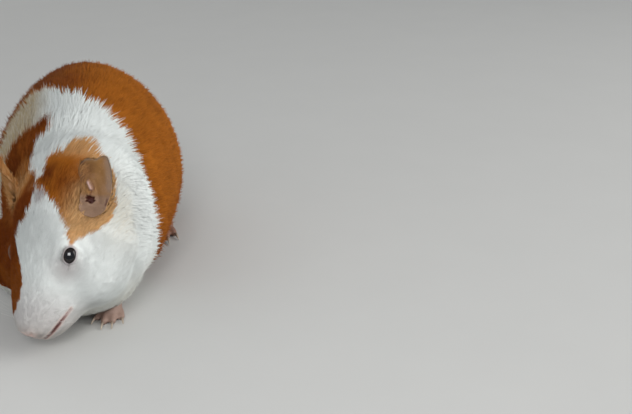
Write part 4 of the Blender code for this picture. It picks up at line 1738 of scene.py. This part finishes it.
        # A later rule overrules those before it.
        rules = [
            (left, Zone.BACK_LEFT), (~left, Zone.BACK_RIGHT),
            (steep & left, Zone.FLANK_LEFT), (steep & ~left, Zone.FLANK_RIGHT),
            (flat[:, 1] > 68, Zone.RUMP), (low, Zone.BELLY),
            (collar & head_left, Zone.COLLAR_LEFT), (collar & ~head_left, Zone.COLLAR_RIGHT),
            (head & top, Zone.CROWN), (head & ~top, Zone.CHEEKS),
            (face & head_left, Zone.FACE_LEFT), (face & ~head_left, Zone.FACE_RIGHT),
        ]
        for foot in self.skin.feet:
            leg = (foot.off_ankle(points) < 15) & (flat[:, 2] < 24) & (back > 30)
            rules += [(leg, Zone.LEGS), (foot.holds(points), Zone.FEET)]
        rules += [(ear.belongs(points) > 0.3, Zone.EARS) for ear in self.skin.ears]
        found, order = np.zeros(len(points), int), list(Zone)
        for where, zone in rules:
            found[where] = order.index(zone)
        return found

    def lie(self, points: Array, normals: Array) -> Array:
        """The way the hair lies, along the skin.

        Args:
            points: roots.
            normals: the skin's normals there.

        Returns:
            Directions of length one.
        """
        flat, inside = points / MM, self.head.inside(points)
        left, up, back = self.head.axes
        turn, depth = self.markings.round_head(points)
        side = np.cos(np.radians(turn))  # 1 on the left, -1 on the right
        low = ramp(np.sin(np.radians(turn)), 0.35, -0.5)
        down = (0.25 + 0.75 * low) * ramp(depth, 24, 60)
        flow = back * (1 - 0.55 * low * ramp(depth, 30, 60))[:, None] - up * down[:, None]
        apart = np.sign(inside[:, 0]) * ramp(np.abs(inside[:, 0]), 0, 10) * 0.35 * ramp(depth, 60, 30)
        flow = flow + left * (apart + 0.25 * side * ramp(depth, 55, 80))[:, None]
        off = flat[:, 0] - self.middle
        spread = 0.16 * np.sign(off) * ramp(np.abs(off), 0, 30)
        trunk = np.stack([spread, np.ones(len(points)), -0.22 - 0.5 * ramp(flat[:, 1], 50, 100)], 1)
        behind = ramp(self.markings.behind_collar(points), -26, 8)[:, None]
        flow = unit(flow) * (1 - behind) + unit(trunk) * behind
        for foot in self.skin.feet:
            close = ramp(foot.off_ankle(points), 20, 11)[:, None]
            flow = flow * (1 - close) + np.array(self.down_leg) * close
            flow = np.where(foot.holds(points)[:, None], np.array(self.over_foot), flow)
        before = self.before_ear(points)[:, None]
        ear = self.skin.ears[0]
        sweep = self.head.towards(*(np.array(ear.across) * 0.55 + np.array(ear.along) * 0.85))
        flow = flow * (1 - before) + sweep * before
        for ear in self.skin.ears:
            on_ear = ear.belongs(points)[:, None]
            along = self.head.towards(*mirrored(ear.along, ear.side))
            across = self.head.towards(*mirrored(ear.across, ear.side))
            outward = unit(points - self.head.outside(mirrored(ear.base, ear.side)))
            fringe = ear.fringe(points)[:, None]
            swept = unit(along * 0.75 + across * 0.65) * fringe + unit(along * 0.5 + outward) * (1 - fringe)
            flow = flow * (1 - on_ear) + swept * on_ear
        return unit(flow - normals * dot(flow, normals)[:, None])

    def tufts(self, zone: Zone, roots: Roots, rng: np.random.Generator) -> Piece:
        """Grows one zone's tufts.

        Args:
            zone: the zone.
            roots: its roots.
            rng: the random draws.

        Returns:
            The zone's piece.
        """
        lock, count = LOCKS[zone], len(roots.points)
        flat = roots.points / MM
        normal = roots.normals
        lie = self.lie(roots.points, normal)
        wave = self.clumps[0](flat) * 0.6 + self.clumps[1](flat) * 0.5
        sway = lock.stray * (rng.normal(size=count) * 0.75 + wave)
        side = np.cross(normal, lie)
        lie = unit(lie * np.cos(sway)[:, None] + side * np.sin(sway)[:, None])
        side = np.cross(normal, lie)
        grown, raised = self.growth(zone, roots.points)
        length = lock.length * rng.uniform(0.72, 1.22, count)
        length = length * (1 + 0.10 * self.clumps[1](flat + 50)) * grown
        height = lock.height * rng.uniform(1 - lock.uneven, 1 + lock.uneven * 0.4, count) * raised
        height = height * np.where(rng.random(count) < 0.07, 1.45, 1.0)
        width = lock.width * rng.uniform(0.7, 1.25, count)
        change = np.einsum("ni,nij->nj", lie, roots.turning) * MM  # of the normal, per millimetre
        bend = np.clip(dot(change, lie), -1 / 30, 1 / 11)
        twist = np.clip(dot(change, side), -1 / 25, 1 / 25)
        curl = rng.normal(size=count) * 0.04 + 0.04 * self.clumps[1](flat + 90)
        draw, shared = self.locks(roots.points, lock, rng)
        draw = draw - normal * dot(draw, normal)[:, None]
        steps = {1: (0.0, 1.0), 2: (0.0, 0.48, 1.0)}[lock.rings]
        taper = {1: (1.0, 0.0), 2: (0.8, 0.85, 0.0)}[lock.rings]
        sink = 0.3 + 0.1 * lock.height
        rings, shading = [], []
        for step, wide in zip(steps, taper):
            s = length * step
            turned = unit(normal + (lie * bend[:, None] + side * twist[:, None]) * s[:, None])
            rise = height * (1 - (1 - step) ** 1.7) - sink * (1 - step) ** 3
            centre = (lie * s[:, None] - normal * (bend * s**2 / 2)[:, None] + draw * step**1.5
                      + side * (curl * s * step)[:, None] + turned * rise[:, None])
            across = side * (wide * width / 2)[:, None]
            if wide == 0.0:
                rings.append(centre)
                shading.append(turned)
            else:
                ridge = centre + turned * (wide * width * 0.42)[:, None]
                rings += [centre - across, centre + across, ridge]
                shading += [turned - side * 0.22, turned + side * 0.22, turned]
        points = np.stack([roots.points + r * MM for r in rings], 1).reshape(-1, 3)
        points[:, 2] = np.maximum(points[:, 2], 0.2 * MM)
        shade = unit(np.stack(shading, 1)).reshape(-1, 3)
        shown = roots.points + (lie * (length * 0.62)[:, None] + normal * (height * 0.8)[:, None]) * MM
        fill = {
            "orange": self.orange_of(roots, shown, rng), "deep": self.markings.deep(shown),
            "pale": self.markings.pale(shown), "grey": self.markings.grey(shown),
            "tan": np.clip(self.markings.tan(shown) * rng.uniform(0.55, 1.25, len(shown)), 0, 1),
            "tone": self.tone_of(roots, shared, rng),
        }
        return self.piece(zone, roots, points, shade, lock.rings, fill)

    def growth(self, zone: Zone, points: Array) -> Array:
        """How long and how high tufts grow here, as shares of the zone's own measures.

        Args:
            zone: the zone.
            points: the roots.

        Returns:
            A row of shares for the length and one for the height.
        """
        inside = self.head.inside(points)
        shares = np.ones((2, len(points)))
        if zone in (Zone.FACE_LEFT, Zone.FACE_RIGHT):
            shares *= 0.62 + 0.75 * ramp(inside[:, 2], 6, 50)
            shares *= 1 + 0.8 * ramp(inside[:, 1], -8, -16) * ramp(inside[:, 2], 4, 18)  # the chin
            for eye in self.skin.eyes:
                _, off, depth = eye.locate(points)
                shares *= 1 - 0.5 * ramp(off, 9, 5.0) * (depth > -2)
        if zone in (Zone.COLLAR_LEFT, Zone.COLLAR_RIGHT, Zone.CHEEKS, Zone.CROWN):
            shares[1] *= 1 + 0.35 * ramp(np.abs(self.markings.behind_collar(points) + 3), 9, 1)
        if zone in (Zone.CROWN, Zone.CHEEKS):
            shares *= 0.72 + 0.4 * ramp(inside[:, 2], 50, 84)
            shares *= 1 + 0.4 * ramp(inside[:, 1], -10, -22)  # the throat
            for ear in self.skin.ears:
                _, out, rise = ear.locate(points)
                x, y = ear.flat(points)
                under = 1 - ramp(x, -2, -5) * ramp(y, -4, 2)
                shares *= 1 - 0.25 * ramp(np.hypot(out, rise), 14, 9) * under
            before = self.before_ear(points)
            shares *= np.stack([1 - 0.15 * before, 1 + 0.9 * before])
        if zone is Zone.EARS:
            fringe = self.skin.ears[0].fringe(points) * (inside[:, 0] > 0)
            furry = np.where(inside[:, 0] < 0, 2.6, 1.0)
            shares *= np.stack([furry + 1.6 * fringe, furry + 2.4 * fringe])
        return shares

    def locks(self, points: Array, lock: Lock, rng: np.random.Generator) -> tuple[Array, Array]:
        """Gathers neighbouring tufts into locks.

        Args:
            points: the roots.
            lock: how tufts grow here.
            rng: the random draws.

        Returns:
            For each tuft the pull on its tip, in millimetres, and its lock's own number from 0 to 1.
        """
        share = 1 / (lock.per_mm2 * lock.lock**2)
        seeds = points[rng.random(len(points)) < share]
        tones = rng.random(len(seeds) + 1)
        if lock.pull == 0 or len(seeds) < 2:
            return np.zeros_like(points), np.full(len(points), 0.5)
        tree = KDTree(len(seeds))
        for number, seed in enumerate(seeds):
            tree.insert(seed, number)
        tree.balance()
        nearest = np.array([tree.find(point)[1] for point in points])
        return (seeds[nearest] - points) / MM * lock.pull, tones[nearest]

    def piece(
        self, zone: Zone, roots: Roots, points: Array, shade: Array, rings: int, fill: dict[str, Array]
    ) -> Piece:
        """Joins one zone's tufts into a mesh with its map, kept numbers and shading.

        Args:
            zone: the zone.
            roots: its roots.
            points: all tufts' points, ring by ring, the tip last.
            shade: normals to shade them by.
            rings: rings of three points below the tip.
            fill: numbers that each tuft keeps, by name.

        Returns:
            The piece.
        """
        each, count = rings * 3 + 1, len(roots.points)
        faces = [(0, 2, 1)]
        for r in range(rings - 1):
            for a, b in RING_SIDES:
                low, next_low, high, next_high = r * 3 + a, r * 3 + b, r * 3 + 3 + a, r * 3 + 3 + b
                faces += [(low, next_low, next_high), (low, next_high, high)]
        top = (rings - 1) * 3
        faces += [(top + a, top + b, each - 1) for a, b in RING_SIDES]
        corners = (np.array(faces)[None] + each * np.arange(count)[:, None, None]).reshape(-1, 3)
        mesh = bpy.data.meshes.new(zone.value)
        mesh.vertices.add(len(points))
        mesh.vertices.foreach_set("co", points.astype(np.float32).ravel())
        mesh.loops.add(corners.size)
        mesh.loops.foreach_set("vertex_index", corners.astype(np.int32).ravel())
        mesh.polygons.add(len(corners))
        mesh.polygons.foreach_set("loop_start", np.arange(0, corners.size, 3, dtype=np.int32))
        mesh.update(calc_edges=True)
        mesh.shade_smooth()
        levels = np.repeat(np.linspace(0, 1, rings + 1), [3] * rings + [1])
        sides = np.array([-0.5, 0.5, 0.0] * rings + [0.0])
        spot = np.stack([sides, levels - 0.5], 1) * self.patch
        spots = np.clip(roots.map[:, None] + spot[None], 0.0, 1.0).reshape(-1, 2)
        layer = mesh.uv_layers.new(name="OFBake")
        layer.data.foreach_set("uv", spots[corners.ravel()].astype(np.float32).ravel())
        for name, values in fill.items():
            store(mesh, name, np.repeat(values, each))
        store(mesh, "along", np.tile(levels, count))
        shade_by(mesh, shade)
        return new_object(zone.value, mesh)

    def orange_of(self, roots: Roots, shown: Array, rng: np.random.Generator) -> Array:
        """How orange each tuft is: nearly all or nothing, as single hairs are.

        Args:
            roots: the roots.
            shown: where each tuft shows.
            rng: the random draws.

        Returns:
            From 0 to 1.
        """
        found = self.markings.orange(shown)
        for ear in self.skin.ears:
            found = np.maximum(found, ear.belongs(roots.points))
        return ramp(found + rng.uniform(-0.3, 0.3, len(found)), 0.36, 0.64)

    def tone_of(self, roots: Roots, shared: Array, rng: np.random.Generator) -> Array:
        """How light each tuft is: its own tone, its lock's and a slow change over the body.

        Args:
            roots: the roots.
            shared: the number of each tuft's lock.
            rng: the random draws.

        Returns:
            From 0 to 1.
        """
        flat = roots.points / MM
        own = 0.16 * rng.normal(size=len(flat)) + 0.30 * (shared - 0.5)
        return np.clip(0.5 + own + 0.10 * self.clumps[2](flat), 0, 1)

    def build(self) -> None:
        """Grows the whole coat, one piece for each zone."""
        rng = np.random.default_rng(self.seed)
        roots = self.sow(rng)
        zones = self.zones(roots.points, roots.normals)
        finish = CoatFinish().make()
        for number, zone in enumerate(Zone):
            chosen = roots.take(zones == number)
            if not len(chosen.points):
                continue
            piece = self.tufts(zone, chosen, rng)
            piece.data.materials.append(finish)
            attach(piece, "root")
            LOG.info("%s: %d tufts, %d faces", zone.value, len(chosen.points), len(piece.data.polygons))


# ---- whiskers
@dataclass
class Whiskers:
    """Fine stiff hairs from the whisker pads."""

    head: HeadFrame
    body: Piece
    rows: Path = ((9.0, 4.5, 5.5), (11.0, 1.5, 6.5), (12.5, -1.2, 8.0))
    per_row: int = 3
    left_reach: float = 23.0
    right_reach: float = 18.0
    width: float = 0.12 * MM  # at the root
    knots: int = 9
    seed: int = 5

    def hair(self, root: Array, way: Array, droop: Array, length: float) -> Array:
        """One whisker's rings of points.

        Args:
            root: where it grows.
            way: its direction there.
            droop: the direction it bends to.
            length: in metres.

        Returns:
            Rings of three points.
        """
        side = unit(np.cross(way, droop))
        up = np.cross(way, side)
        rings = []
        for t in np.linspace(0, 1, self.knots):
            centre = root + way * length * t + droop * length * 0.22 * t**2
            size = self.width * (1 - 0.9 * t)
            rings.append([centre + (side * np.cos(a) + up * np.sin(a)) * size / 2 for a in (0, 2.1, 4.2)])
        return np.array(rings)

    def build(self, name: str, side: int) -> Piece:
        """The whiskers of one side.

        Args:
            name: the piece's name.
            side: 1 for the left and -1 for the right.

        Returns:
            The piece.
        """
        rng = np.random.default_rng(self.seed + side)
        tree = BVHTree.FromObject(self.body, bpy.context.evaluated_depsgraph_get())
        reach = self.left_reach if side > 0 else self.right_reach
        points, faces, along = [], [], []
        for k, (left, up, back) in enumerate(self.rows):
            for j in range(self.per_row):
                start = np.array([left * side + side * 0.7 * j, up - 0.3 * j, back + 2.3 * j])
                spot, normal, _, _ = tree.find_nearest(Vector(self.head.outside(start)))
                lean = self.head.towards(0.7 * side, 0.35 - 0.3 * k, 0.15 + 0.16 * j)
                way = unit(np.array(normal) + lean + rng.normal(size=3) * 0.08)
                droop = self.head.towards(0.1 * side, 0.1, 1.0)
                length = reach * MM * rng.uniform(0.62, 1.0)
                rings = self.hair(np.array(spot) - way * 0.4 * MM, way, droop, length)
                base = sum(len(p) for p in points)
                points.append(rings.reshape(-1, 3))
                along += np.repeat(np.linspace(0, 1, len(rings)), 3).tolist()
                for r in range(len(rings) - 1):
                    low = base + 3 * r
                    for a, b in RING_SIDES:
                        faces.append((low + a, low + b, low + 3 + b, low + 3 + a))
                faces.append((base + 2, base + 1, base))
                end = base + 3 * (len(rings) - 1)
                faces.append((end, end + 1, end + 2))
        mesh = bpy.data.meshes.new(name)
        mesh.from_pydata(np.concatenate(points).tolist(), [], faces)
        face_outwards(mesh)
        store(mesh, "along", np.array(along))
        return new_object(name, mesh)


# ---- claws
@dataclass
class Claws:
    """The frame's claws, rounded, as finer pieces that replace them."""

    def build(self, finish: Material) -> None:
        """Makes every claw, of this horn."""
        for node in sorted(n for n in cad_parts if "claw" in n):
            claw = new_object(node + "_horn", frame_mesh((node,), 0.1 * MM))
            modify(claw, "SUBSURF", levels=2, render_levels=2)
            points = points_of(claw.data)
            points[:, 2] = np.maximum(points[:, 2], 0.05 * MM)
            set_points(claw.data, points)
            store(claw.data, "along", ramp(-points[:, 1], -points[:, 1].max(), -points[:, 1].min()))
            claw.data.materials.clear()
            claw.data.materials.append(finish)
            claw.data.shade_smooth()
            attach(claw, "root")
            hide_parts(node)


# ---- studio
@dataclass(frozen=True)
class Lamp:
    """A square soft lamp, with its place and its side in metres."""

    name: str
    place: Point
    size: float
    watts: float
    tint: Colour

    def hang(self) -> None:
        """Hangs the lamp, aimed at the animal."""
        data = bpy.data.lights.new(self.name, "AREA")
        data.size, data.energy, data.color = self.size, self.watts, self.tint
        lamp = new_object(self.name, data)
        lamp.location = self.place
        lamp.visible_camera = False
        aim = Vector((0.0, -0.02, 0.05)) - Vector(self.place)
        lamp.rotation_euler = aim.to_track_quat("-Z", "Y").to_euler()


@dataclass
class Studio:
    """Camera, floor and soft light."""

    place: Point = (0.0457, -0.5401, 0.2553)
    pitch: float = 23.0
    yaw: float = 9.0
    focal: float = 1000 / 632 * 36
    floor_size: float = 8.0
    surround: Colour = (0.90, 0.93, 0.96)
    surround_light: float = 0.38
    lamps: tuple[Lamp, ...] = (
        Lamp("key", (1.12, -0.50, 0.70), 1.3, 13.4, (1.0, 0.99, 0.97)),
        Lamp("fill", (-1.1, -0.6, 0.9), 1.2, 1.3, (0.93, 0.96, 1.0)),
        Lamp("rear", (-0.6, 1.1, 0.9), 1.0, 2.2, (1.0, 0.97, 0.93)),
        Lamp("catch", (-0.056, -0.591, 0.424), 0.18, 1.3, (1.0, 1.0, 1.0)),
    )

    def camera(self) -> None:
        """Sets the camera."""
        data = bpy.data.cameras.new("camera")
        data.lens, data.sensor_width = self.focal, 36
        data.clip_start, data.clip_end = 0.01, 20
        camera = new_object("camera", data)
        camera.location = self.place
        camera.rotation_euler = (radians(90 - self.pitch), 0, radians(-self.yaw))
        bpy.context.scene.camera = camera

    def build(self) -> None:
        """Sets camera, floor, lamps and the pale surround."""
        self.camera()
        bpy.ops.mesh.primitive_plane_add(size=self.floor_size, location=(0, 0, 0))
        floor = bpy.context.active_object
        floor.name = "floor"
        floor.data.materials.append(FloorFinish().make())
        for lamp in self.lamps:
            lamp.hang()
        world = bpy.data.worlds.new("surround")
        world.use_nodes = True
        back = world.node_tree.nodes["Background"]
        back.inputs[0].default_value = (*self.surround, 1)
        back.inputs[1].default_value = self.surround_light
        bpy.context.scene.world = world
        bpy.context.scene.view_settings.view_transform = "Standard"


def main() -> None:
    """Builds the whole model in order."""
    logging.basicConfig(level=logging.INFO, format="%(message)s")
    head = HeadFrame.from_frame()
    LOG.info("nose tip at %s", np.round(head.nose, 4))
    markings = Markings(head)
    eyes = [Eye(head, sign) for _, sign in SIDES]
    ears = [Ear(head, sign) for _, sign in SIDES]
    Studio().build()
    skin = Skin(head, markings, eyes, ears)
    body = skin.build()
    wet = EyeFinish().make()
    for (side, _), eye in zip(SIDES, eyes):
        ball = eye.build(f"eyeball_{side}")
        ball.data.materials.append(wet)
        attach(ball, "root")
        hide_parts(f"eye_{side}")
    Claws().build(ClawFinish().make())
    Coat(head, markings, skin, body).build()
    hairs = WhiskerFinish().make()
    for side, sign in SIDES:
        whiskers = Whiskers(head, body).build(f"whiskers_{side}", sign)
        whiskers.data.materials.append(hairs)
        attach(whiskers, "root")


if __name__ == "__main__":
    main()
